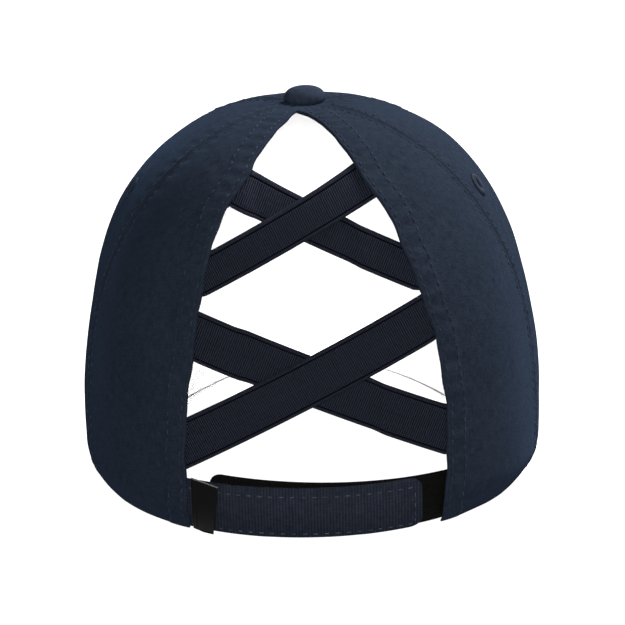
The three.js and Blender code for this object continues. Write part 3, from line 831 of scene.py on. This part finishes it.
PANELS = []
for panel_side in SIDES:
    PANELS.append(Panel("back", panel_side, worn_opening, side_seam))
    PANELS.append(Panel("side", panel_side, side_seam, front_seam))
    PANELS.append(Panel("front", panel_side, front_seam, centre_front, BACKED_PARTS))


def panel_rows():
    upper = np.linspace(PANEL_TOP, WIDEST_DOWN, PANEL_ROWS)
    above_hem = np.array([12.8, 11.6, 10.4, 9.2, 8, 6.8, 5.6, 4.4, 3.3, 2.3, 1.5, 0.9, 0.5, 0.2, 0.05, 0])
    lower = 1 - above_hem / WIDEST_HEIGHT * (1 - WIDEST_DOWN)
    return np.concatenate([upper, lower])[:, None]


def crowded_shares(half_count, crowding):
    """Shares from 0 to 1 that lie closer together towards both ends."""
    half = 0.5 * np.linspace(0, 1, half_count + 1) ** crowding
    return np.concatenate([half, 1 - half[-2::-1]])


def make_panel(panel):
    down = panel_rows()
    near = panel.near(down, panel.side) - SEAM_LAP / panel.across_scale(panel.near, down)
    far = panel.far(down, panel.side) + SEAM_LAP / panel.across_scale(panel.far, down)
    angle = lerp(near, far, crowded_shares(PANEL_HALF_COLUMNS, PANEL_CROWDING)[None, :])
    down = np.broadcast_to(down, angle.shape)
    word = SIDES[panel.side]
    inner = panel.inner(angle, down)
    if panel.backed:
        inner[-1, :, 2] -= GAP  # the backing's edge turns down to the peak
    return sheet_piece(
        f"{panel.word}_cloth_{word}",
        panel.outer(angle, down),
        inner,
        [CLOTH_LOOK, BACKING_LOOK],
        [f"{panel.word}_panel_{word}"],
        panel.backed,
    )


def eyelet_seat(panel):
    """A matrix from an eyelet's own millimetres, with +Z out of the cloth, to upright ones."""
    across, down = EYELETS[panel.side]
    down = np.array(down)
    angle = lerp(side_seam(down), front_seam(down), across)
    place = Vector(panel.outer(angle, down))
    turn = Vector((0, 0, 1)).rotation_difference(Vector(panel.outward(angle, down)))
    return Matrix.Translation(place) @ turn.to_matrix().to_4x4()


def drill(piece, seat, radius):
    """Cuts a round hole through a piece, square to its cloth."""
    sides = 40
    turn = full_turn(sides)
    ring = np.stack([radius * np.cos(turn), radius * np.sin(turn)], 1)
    ends = [np.column_stack([ring, np.full(sides, height)]) for height in (-6, 6)]
    points = [TO_FRAME @ seat @ Vector(p) for p in np.concatenate(ends).tolist()]
    faces = [(k, (k + 1) % sides, sides + (k + 1) % sides, sides + k) for k in range(sides)]
    faces += [tuple(reversed(range(sides))), tuple(range(sides, 2 * sides))]
    mesh = bpy.data.meshes.new("drill")
    mesh.from_pydata(points, [], faces)
    cutter = linked("drill", mesh)
    cut = piece.modifiers.new("hole", "BOOLEAN")
    cut.operation = "DIFFERENCE"
    cut.object = cutter
    evaluated = piece.evaluated_get(bpy.context.evaluated_depsgraph_get())
    drilled = bpy.data.meshes.new_from_object(evaluated)
    piece.modifiers.clear()
    piece.data = drilled
    bpy.data.objects.remove(cutter)


EYELET_THREADS = 46
EYELET_RELIEF = 0.14  # of the threads, as a share of the ring's height


def make_eyelet(panel, seat):
    """A stitched ring, its threads laid side by side from the hole to its outer edge."""
    around, along = 6 * EYELET_THREADS, 18
    turn = full_turn(around)[:, None]
    swing = np.linspace(0, 2 * math.pi, along)[None, :]
    thread = np.abs(np.sin(EYELET_THREADS * turn / 2 + 0.5 * swing))
    half_width = (EYELET_RADIUS - EYELET_HOLE_RADIUS) / 2
    middle = (EYELET_RADIUS + EYELET_HOLE_RADIUS) / 2
    size = 0.9 + EYELET_RELIEF * thread
    radius = middle + half_width * size * np.cos(swing)
    rise = 0.15 + EYELET_PROUD * size * np.sin(swing)
    points = np.stack([radius * np.cos(turn), radius * np.sin(turn), rise + 0 * turn], -1)
    matrix = np.array(seat)
    points = points @ matrix[:3, :3].T + matrix[:3, 3]
    word = SIDES[panel.side]
    uv = np.stack(np.broadcast_arrays(turn * middle, swing * half_width), -1)
    return make_piece(
        f"eyelet_ring_{word}",
        points.reshape(-1, 3),
        ring_faces(around, along),
        uv,
        [EYELET_LOOK],
        [f"eyelet_{word}"],
    )


# Stitches

STITCH_RINGS = 6
STITCH_SIDES = 6
SEAM_ROW_SPAN = (0.07, 0.985)  # where the rows start and end, down the crown
FACING_ROW_SPAN = (0.09, 0.99)
EDGE_ROW_SPAN = (0.125, 0.99)


def stitches(path, outward, pitch=STITCH_PITCH, length=STITCH_LENGTH, radius=THREAD_RADIUS):
    """Points and quads of the stitches along a path. Each arches out of the cloth."""
    run = travelled(path, 0)
    middles = np.arange(pitch / 2, run[-1] - length / 2, pitch)
    share = np.linspace(-1, 1, STITCH_RINGS)
    along = middles[:, None] + share * length / 2
    spine = np.stack([np.interp(along, run, path[:, k]) for k in range(3)], -1)
    up = unit(np.stack([np.interp(along, run, outward[:, k]) for k in range(3)], -1))
    spine = spine + up * (radius * (0.75 - 1.7 * share**4))[None, :, None]
    side = np.cross(unit(np.gradient(spine, axis=1)), up)
    turn = full_turn(STITCH_SIDES)
    girth = radius * (1 - 0.35 * share**4)[None, :, None, None]
    rings = np.cos(turn)[:, None] * side[:, :, None] + np.sin(turn)[:, None] * up[:, :, None]
    points = (spine[:, :, None] + girth * rings).reshape(-1, 3)
    one = stitch_faces()
    offsets = np.arange(len(middles)) * STITCH_RINGS * STITCH_SIDES
    return points, (one[None] + offsets[:, None, None]).reshape(-1, 4)


def stitch_faces():
    """Quads of one stitch: rings of points, with its two six-sided ends filled."""
    rings, sides = STITCH_RINGS, STITCH_SIDES
    ring, k = np.meshgrid(np.arange(rings - 1), np.arange(sides), indexing="ij")
    ring, k = ring.ravel(), k.ravel()
    after = (k + 1) % sides
    wall = np.stack([ring * sides + k, ring * sides + after, (ring + 1) * sides + after,
                     (ring + 1) * sides + k], 1)
    last = (rings - 1) * sides
    ends = [[0, 5, 4, 3], [0, 3, 2, 1], [last, last + 1, last + 2, last + 3],
            [last, last + 3, last + 4, last + 5]]
    return np.concatenate([wall, np.array(ends)])


def stitch_piece(name, rows, look=THREAD_LOOK, **sizes):
    points, quads, count = [], [], 0
    for path, outward in rows:
        row_points, row_quads = stitches(path, outward, **sizes)
        points.append(row_points)
        quads.append(row_quads + count)
        count += len(row_points)
    points, quads = np.concatenate(points), np.concatenate(quads)
    return make_piece(name, points, quads, points[:, :2], [look])


def make_crown_stitches():
    for side, word in SIDES.items():
        rows = []
        edges = []
        for panel in (p for p in PANELS if p.side == side):
            rows.append(panel.row(panel.far, SEAM_ROW, *SEAM_ROW_SPAN))
            if panel.near is worn_opening:
                edges.append(panel.row(panel.near, FACING_ROW, *FACING_ROW_SPAN))
                edges.append(panel.row(panel.near, EDGE_ROW, *EDGE_ROW_SPAN))
            else:
                rows.append(panel.row(panel.near, SEAM_ROW, *SEAM_ROW_SPAN))
        stitch_piece(f"seam_stitches_{word}", rows)
        stitch_piece(f"opening_stitches_{word}", edges)


# Button


def make_button():
    """A cloth-covered dome, gathered a little under its rim, with its stem and back below."""
    seat = CROWN_HEIGHT - DIMPLE + GAP
    widest = seat + BUTTON_RIM
    turn = np.linspace(0, math.pi / 2, 26)
    size = superellipse(np.cos(turn), np.sin(turn), BUTTON_FULLNESS)
    dome = np.stack([
        BUTTON_RADIUS * np.maximum(np.cos(turn), 1e-4) * size,
        widest + (BUTTON_HEIGHT - BUTTON_RIM) * np.sin(turn) * size,
    ], 1)
    back = seat - CLOTH - 2 * GAP
    under = np.array([
        (1e-3, back - BUTTON_BACK_THICKNESS),
        (BUTTON_BACK_RADIUS - 0.3, back - BUTTON_BACK_THICKNESS),
        (BUTTON_BACK_RADIUS, back - 0.5 * BUTTON_BACK_THICKNESS),
        (BUTTON_BACK_RADIUS - 0.3, back),
        (BUTTON_STEM_RADIUS, back),
        (BUTTON_STEM_RADIUS, seat - 0.5),
        (BUTTON_RADIUS - 2.2, seat - 0.7),
        (BUTTON_RADIUS - 1.2, seat - 0.25),
        (BUTTON_RADIUS - 0.55, seat + 0.35),
        (BUTTON_RADIUS - 0.15, seat + 0.95),
    ])
    profile = np.concatenate([under, dome])
    around = 144
    angle = full_turn(around)[:, None]
    radius, height = profile[:, 0][None], profile[:, 1][None]
    low = hump(height, seat + 0.6, 1.3) * (radius > BUTTON_STEM_RADIUS + 1)
    gather = GATHER * low * np.sin(BUTTON_GATHERS * angle + 1.5 * np.sin(3 * angle))
    points = np.stack([
        (radius + gather) * np.cos(angle),
        (radius + gather) * np.sin(angle),
        height + 0.1 * np.sin(2 * angle + 0.6) * smoothstep(height, seat, seat + 4) * (radius / 8) ** 2,
    ], -1)
    uv = points[..., :2] * (1 + 0.04 * (CROWN_HEIGHT + 6 - points[..., 2:3]))
    return make_piece(
        "covered_button",
        points.reshape(-1, 3),
        ring_faces(around, len(profile)),
        uv,
        [LIT_BUTTON_LOOK],
        ["top_button"],
    )


# Bands

UNDER_CLOTH = CLOTH + GAP
BETWEEN_MIDDLES = (UPPER_COVER + LOWER_COVER) / 2
# Heights of a band's middle at the opening's left and right edges, and what it covers
UPPER_OVER = (0.663 * CROWN_HEIGHT, 0.873 * CROWN_HEIGHT, UPPER_COVER)
UPPER_UNDER = (0.857 * CROWN_HEIGHT, 0.666 * CROWN_HEIGHT, UPPER_COVER)
LOWER_OVER = (0.2305 * CROWN_HEIGHT, UPPER_UNDER[1] - BETWEEN_MIDDLES - 0.7, LOWER_COVER)
LOWER_UNDER = (UPPER_OVER[0] - BETWEEN_MIDDLES - 4, 0.2557 * CROWN_HEIGHT, LOWER_COVER)
RIB_HEIGHT = 0.1
CORD_RISE = 0.12
CORD_GROOVE = 0.36
RIB_SAMPLES = 4


class BandLine:
    """A band's middle line as seen from behind: straight between the edges, level beyond."""

    def __init__(self, left, right, cover):
        self.cover = cover
        self.left_x = float(opening_half_width(down_at(left, UNDER_CLOTH)))
        self.right_x = -float(opening_half_width(down_at(right, UNDER_CLOTH)))
        self.right = right
        self.climb = (left - right) / (self.left_x - self.right_x)

    def height_at(self, x):
        straight = np.clip(x, self.right_x - BAND_STRAIGHT, self.left_x + BAND_STRAIGHT)
        return self.right + self.climb * (straight - self.right_x)

    def lean_at(self, x):
        """The line's angle to the level, which eases off under the panels."""
        past = np.maximum(x - self.left_x, self.right_x - x) - BAND_STRAIGHT
        return math.atan(self.climb) * (1 - smoothstep(past, -1, 3))


def edge_distances(width):
    near = np.array([0, 0.06, 0.2, 0.45, 0.75, 1, 1.2, 1.33, 1.45, 1.57, 1.8, 2.2])
    middle = np.linspace(near[-1], width / 2, 6)[1:]
    half = np.concatenate([near, middle])
    return np.concatenate([half, width - half[-2::-1]])


def make_band(name, node, row, partner, layer):
    line, other = BandLine(*row), BandLine(*partner)
    width = line.cover * math.cos(math.atan(line.climb))
    start, end = line.left_x + BAND_TUCK, line.right_x - BAND_TUCK
    run = (start - end) / math.cos(math.atan(line.climb))
    columns = int(run / RIB_PITCH * RIB_SAMPLES)
    along = np.linspace(0, run, columns + 1)[None, :]
    spine = lerp(start, end, along / run)
    across = edge_distances(width)[:, None]
    offset = width / 2 - across
    lean = line.lean_at(spine)
    x = spine - offset * np.sin(lean)
    z = line.height_at(spine) + offset * np.cos(lean)
    crossing = (other.height_at(0) - line.height_at(0)) / (line.climb - other.climb)
    half_crossing = line.cover / abs(line.climb - other.climb) + GAP
    past = np.abs(x - crossing) - half_crossing
    dip = layer * (1 - smoothstep(past, 0, BAND_DIP_EASE)) * (BAND_THICKNESS + GAP)
    edge = np.minimum(across, width - across)
    profile = CORD_RISE * hump(edge, 0.85, 0.6) - CORD_GROOVE * hump(edge, CORD_WIDTH + 0.1, 0.24)
    ribbed = smoothstep(edge, CORD_WIDTH + 0.3, CORD_WIDTH + 0.8)
    ribs = RIB_HEIGHT * np.sin(2 * math.pi * along / RIB_PITCH) * ribbed
    lift = profile + ribs - rounding(edge, BAND_THICKNESS / 2)
    outer = across_opening(x, z, UNDER_CLOTH + dip - lift, BAND_BOW)
    inner = across_opening(x, z, UNDER_CLOTH + dip + BAND_THICKNESS + lift, BAND_BOW)
    uv = (along, edge)
    return sheet_piece(name, outer, inner, [ELASTIC_LOOK], [node], uv=uv)


def make_bands():
    for word, over, under in [("upper", UPPER_OVER, UPPER_UNDER), ("lower", LOWER_OVER, LOWER_UNDER)]:
        make_band(f"{word}_elastic_over", f"{word}_band_over", over, under, 0)
        make_band(f"{word}_elastic_under", f"{word}_band_under", under, over, 1)


# Straps and label

HEM_EDGE = float(opening_half_width(1))
STRAP_TOP_ROW = 3.3  # below the strap's top edge
STRAP_LOW_ROW = 2.4  # above its lower edge
STRAP_TIP_ROW = 2.7  # from its free tip
STRAP_ROW_DEPTH = 0.12  # under the strap's face
BACK_STEP = 0.2  # for slopes, in millimetres
STRAP_RIB_HEIGHT = 0.035
STRAP_WAVE = 0.12  # of its top edge
STRAP_FRAME_RISE = 0.1  # how much the strap swells within its rows
PILE_HEIGHT = 0.1
PILE_LENGTH = 1.6
SELVEDGE_RISE = 0.12
SELVEDGE_GROOVE = 0.15
LABEL_FOLD = 0.14


def strap_grid(root_side, tip, height, rise_at):
    """x and z of a strap's grid of points, and each one's distances to its edges."""
    root, end = root_side * (HEM_EDGE + STRAP_TUCK), -root_side * tip
    length = abs(end - root)
    near_tip = np.array([0, 0.08, 0.25, 0.5, 0.85, 1.3, 1.8, 2.4, 3, 3.7, 4.5, 5.3])
    rest = np.linspace(near_tip[-1], length, 130)[1:]
    from_tip = np.concatenate([near_tip, rest])[None, :]
    x = end + root_side * from_tip
    share = crowded_shares(20, 1.5)[:, None]
    inside = TIP_CORNER - np.clip(from_tip, 0, TIP_CORNER)
    cut = TIP_CORNER - np.sqrt(TIP_CORNER**2 - inside**2)
    z = rise_at(x) + lerp(cut, height - cut, share)
    from_low = z - rise_at(x)
    from_top = height - from_low
    x = np.broadcast_to(x, z.shape)
    from_tip = np.broadcast_to(from_tip, z.shape)
    edge = np.minimum(np.minimum(from_low, from_top) - cut, from_tip)
    return x, z, from_tip, from_low, from_top, edge


def cloth_strap_lift(x, from_tip, from_low, from_top, edge):
    """The strap's outer face: rounded edges, a stitched frame and ribs between its rows."""
    places = [(from_top, STRAP_TOP_ROW), (from_low, STRAP_LOW_ROW), (from_tip, STRAP_TIP_ROW)]
    rows = 0
    framed = 1
    for away, row in places:
        rows = rows + hump(away, row, STITCH_DENT_WIDTH)
        framed = framed * smoothstep(away, row, row + 1)
    ribs = STRAP_RIB_HEIGHT * np.sin(2 * math.pi * x / STRAP_RIB_PITCH) * framed
    wave = STRAP_WAVE * np.sin(x / 4.3 + 1.3 * np.sin(x / 9)) * hump(from_top, 1.5, 2.5)
    fold = rounding(edge, STRAP_THICKNESS / 2)
    return ribs + wave - STITCH_DENT * rows - fold + STRAP_FRAME_RISE * framed


def make_closing_strap():
    level = lambda x: 0 * x
    x, z, from_tip, from_low, from_top, edge = strap_grid(1, STRAP_TIP, STRAP_HEIGHT, level)
    lift = cloth_strap_lift(x, from_tip, from_low, from_top, edge)
    outer = on_back(x, z, UNDER_CLOTH - lift)
    inner = on_back(x, z, UNDER_CLOTH + STRAP_THICKNESS - rounding(edge, STRAP_THICKNESS / 2))
    uv = (x, from_low)
    sheet_piece("strap_cloth", outer, inner, [STRAP_LOOK], ["closing_strap"], uv=uv)
    stitch_piece("strap_stitches", strap_rows(), PALE_THREAD_LOOK, pitch=3.9, length=2)


def strap_rows():
    """The frame of stitches on the closing strap."""
    x = np.linspace(-STRAP_TIP + STRAP_TIP_ROW, HEM_EDGE + STRAP_TUCK, 400)
    z = np.linspace(STRAP_LOW_ROW, STRAP_HEIGHT - STRAP_TOP_ROW, 120)
    lines = [
        (x, 0 * x + STRAP_HEIGHT - STRAP_TOP_ROW),
        (x, 0 * x + STRAP_LOW_ROW),
        (0 * z - STRAP_TIP + STRAP_TIP_ROW, z),
    ]
    rows = []
    for line_x, line_z in lines:
        path = on_back(line_x, line_z, UNDER_CLOTH + STRAP_ROW_DEPTH)
        rows.append((path, back_outward(line_x, line_z)))
    return rows


def back_outward(x, z):
    normal = normal_of(lambda x, z: on_back(x, z, UNDER_CLOTH), x, z, BACK_STEP)
    return normal * np.sign(normal[..., 1:2])


def make_fastening_strap():
    rise_at = lambda x: TAPE_RISE + TAPE_SLANT * x
    x, z, from_tip, from_low, from_top, edge = strap_grid(-1, TAPE_TIP, TAPE_HEIGHT, rise_at)
    points = on_back(x, z, 0)
    pile = PILE_HEIGHT * ripple(points, PILE_LENGTH, 5) * smoothstep(edge, 1.6, 2.2)
    selvedge = SELVEDGE_RISE * hump(edge, 0.9, 0.5) - SELVEDGE_GROOVE * hump(edge, 1.7, 0.3)
    lift = pile + selvedge - rounding(edge, TAPE_THICKNESS / 2)
    depth = UNDER_CLOTH + STRAP_THICKNESS + GAP
    outer = on_back(x, z, depth - lift)
    inner = on_back(x, z, depth + TAPE_THICKNESS - rounding(edge, TAPE_THICKNESS / 2))
    sheet_piece("loop_strap", outer, inner, [TAPE_LOOK], ["fastening_strap"])


def make_label():
    """A folded label, sewn in at its left side, whose free side hangs away from the strap."""
    start = HEM_EDGE - CLOTH - GAP
    u = crowded_shares(16, 1.4)[None, :]
    v = crowded_shares(28, 1.4)[:, None]
    width = LABEL_WIDTH - LABEL_TAPER * v
    x = start - width * u
    z = (1 - v) * LABEL_HEIGHT - LABEL_DROP * u
    edge = np.minimum(np.minimum(u, 1 - u) * width, np.minimum(v, 1 - v) * LABEL_HEIGHT)
    fold = LABEL_FOLD * hump(width * u, 1.1, 0.35) - LABEL_FOLD * hump(width * u, 1.8, 0.35)
    curl = LABEL_LIFT * u**2 + 0.25 * np.sin(5.5 * v + 0.5) * u
    half = LABEL_THICKNESS / 2

    def face(depth):
        points = on_back(x, np.maximum(z, 0), depth)
        points[..., 2] = z
        return points

    depth = UNDER_CLOTH - GAP - LABEL_THICKNESS - curl
    outer = face(depth - fold + rounding(edge, half))
    inner = face(depth + LABEL_THICKNESS - rounding(edge, half))
    sheet_piece("folded_label", outer, inner, [LABEL_LOOK], ["side_label"])


# Peak

PEAK_ROWS_OF_STITCHES = 6
PEAK_ROW_SPACING = 9.5
PEAK_EDGE_ROW = 3
PEAK_CORNER_ROUND = 0.7  # share of its reach that each corner loses
PEAK_CORNER_SHARPNESS = 26
PEAK_DENT = 0.16
PEAK_PIPING = 0.25
PEAK_SHARES = 90
SEAM_PARTS = (2,)  # its edge inside the crown


def peak_plan(across, share):
    """x and forward of a place on the peak, from the seam at 0 to its outer edge at 1."""
    seam = across * math.radians(PEAK_CORNER_ANGLE)
    inner_x = (HEM_HALF_WIDTH - CLOTH / 2 - PEAK_SEAM_WIDTH) * np.sin(seam)
    inner_forward = (HEM_FRONT_REACH - CLOTH / 2 - PEAK_SEAM_WIDTH) * np.cos(seam)
    turn = across * math.pi / 2
    sine, cosine = np.abs(np.sin(turn)), np.abs(np.cos(turn))
    size = superellipse(sine, cosine, PEAK_SQUARENESS)
    outer_x = PEAK_HALF_WIDTH * sine * size * np.sign(across)
    length = HEM_FRONT_REACH - PEAK_CORNER_FORWARD + PEAK_REACH
    outer_forward = PEAK_CORNER_FORWARD + length * cosine * size
    share = share * (1 - PEAK_CORNER_ROUND * np.abs(across) ** PEAK_CORNER_SHARPNESS)
    return lerp(inner_x, outer_x, share), lerp(inner_forward, outer_forward, share)


def peak_point(x, forward, depth):
    top = np.stack([x, -forward, peak_top(x, forward) - GAP], -1)
    slope = math.tan(math.radians(PEAK_SLOPE_ANGLE))
    down = unit(np.stack([-x / PEAK_BEND_RADIUS, slope + 0 * x, -1 + 0 * x], -1))
    return top + down * np.asarray(depth)[..., None], -down


def peak_row_shares(across, row):
    """How far out a row of stitches lies, as a share from the seam to the edge."""
    x0, f0 = peak_plan(across, 0)
    x1, f1 = peak_plan(across, 1)
    reach = np.hypot(x1 - x0, f1 - f0)
    return 1 - (PEAK_EDGE_ROW + row * PEAK_ROW_SPACING * reach / reach.max()) / reach


def make_peak():
    across = 2 * crowded_shares(70, 1.15)[None, :] - 1
    near_edge = 1 - np.array([5, 3.5, 2.5, 1.8, 1.2, 0.7, 0.35, 0.12, 0]) / PEAK_SHARES
    share = np.concatenate([np.linspace(0, near_edge[0], PEAK_SHARES)[:-1], near_edge])[:, None]
    x, forward = peak_plan(across, share)
    x1, f1 = peak_plan(across, 1)
    x0, f0 = peak_plan(across, 0)
    edge = np.minimum(np.hypot(x1 - x, f1 - forward), 2 * PEAK_THICKNESS)
    dents = 0
    reach = np.hypot(x1 - x0, f1 - f0)
    for row in range(PEAK_ROWS_OF_STITCHES):
        away = (share - peak_row_shares(across, row)) * reach
        dents = dents + hump(away, 0, 0.8)
    radius = PEAK_THICKNESS / 2
    piping = PEAK_PIPING * hump(edge, 1.6, 0.5)
    lift = -PEAK_DENT * dents - rounding(edge, radius) - piping
    outer, _ = peak_point(x, forward, -lift)
    inner, _ = peak_point(x, forward, PEAK_THICKNESS + lift)
    looks = [CLOTH_LOOK, BACKING_LOOK]
    peak = sheet_piece("peak_cloth", outer, inner, looks, ["peak"], SEAM_PARTS)
    under_hem = np.hypot(x - x0, forward - f0)[1:, 1:] < PEAK_SEAM_WIDTH
    for face in np.flatnonzero(under_hem.T.ravel()).tolist():
        peak.data.polygons[face].material_index = 1
    stitch_piece("peak_stitches", peak_rows())


def peak_rows():
    rows = []
    across = np.linspace(-0.985, 0.985, 700)
    for row in range(PEAK_ROWS_OF_STITCHES):
        share = peak_row_shares(across, row)
        kept = share > 0.06
        x, forward = peak_plan(across[kept], share[kept])
        path, outward = peak_point(x, forward, 0.1 + 0 * x)
        rows.append((path, outward))
    return rows


# Stage, light and camera


def photo_camera():
    """A long lens behind the cap, a little above it, rolled as the photograph is."""
    elevation = math.radians(14.49)
    roll = math.radians(1.464)
    distance = 1300
    target = Vector((0, 0, 60))
    aim_right, aim_down = 0.88, 0.85
    ahead = Vector((0, -math.cos(elevation), -math.sin(elevation)))
    level = Vector((-1, 0, 0))
    upward = level.cross(ahead)
    right = level * math.cos(roll) - upward * math.sin(roll)
    up = level * math.sin(roll) + upward * math.cos(roll)
    aim = target + right * aim_right - up * aim_down
    turn = Matrix((right, up, -ahead)).transposed().to_4x4()
    data = bpy.data.cameras.new("photo_camera")
    data.sensor_width = 36
    data.lens = 200.72
    data.clip_start = 0.01
    data.clip_end = 50
    camera = linked("photo_camera", data)
    frame_turn = TO_FRAME.to_3x3().normalized().to_4x4()
    place = TO_FRAME @ (aim - ahead * distance)
    camera.matrix_world = Matrix.Translation(place) @ frame_turn @ turn
    bpy.context.scene.camera = camera


def soft_light(name, place, size, power, aim=(0, 0, 0.07)):
    data = bpy.data.lights.new(name, "AREA")
    data.shape = "DISK"
    data.size = size
    data.energy = power
    light = linked(name, data)
    light.location = place
    light.rotation_euler = (Vector(aim) - Vector(place)).to_track_quat("-Z", "Y").to_euler()


def pale_floor():
    size = 14
    mesh = bpy.data.meshes.new("floor")
    corners = [(-size, -size, 0), (size, -size, 0), (size, size, 0), (-size, size, 0)]
    mesh.from_pydata(corners, [], [(0, 1, 2, 3)])
    tree = Tree("pale_paper")
    place = tree.add("ShaderNodeTexCoord", {}).outputs["Object"]
    grain = tree.noise(place, 0.05, 2.0)
    colour = tree.mix(grain, (0.1, 0.1, 0.1, 1), (0.12, 0.12, 0.12, 1))
    mesh.materials.append(
        tree.finish(
            Base_Color=colour,
            Roughness=0.9,
            Specular_IOR_Level=0.0,
            Emission_Color=(1, 1, 1, 1),
            Emission_Strength=1.0,
        )
    )
    floor = linked("floor", mesh)


def pale_world(strength):
    world = bpy.data.worlds.new("studio")
    world.use_nodes = True
    background = world.node_tree.nodes["Background"]
    background.inputs["Color"].default_value = (1, 1, 1, 1)
    background.inputs["Strength"].default_value = strength
    bpy.context.scene.world = world


def make_stage():
    bpy.context.scene.view_settings.view_transform = "Standard"
    pale_floor()
    pale_world(0.35)
    soft_light("front", (0, 2.1, 0.62), 0.5, 120)
    soft_light("top", (-1.12, -0.55, 1.92), 1.0, 340)
    soft_light("inside", (0, 0.045, 0.03), 0.06, 0.07, aim=(0, -0.08, 0.1))


photo_camera()
for cap_panel in PANELS:
    cloth_piece = make_panel(cap_panel)
    if cap_panel.word == "side":
        place_of_eyelet = eyelet_seat(cap_panel)
        drill(cloth_piece, place_of_eyelet, EYELET_BARREL_RADIUS + GAP)
        make_eyelet(cap_panel, place_of_eyelet)
make_crown_stitches()
make_button()
make_bands()
make_closing_strap()
make_fastening_strap()
make_label()
make_peak()
make_stage()
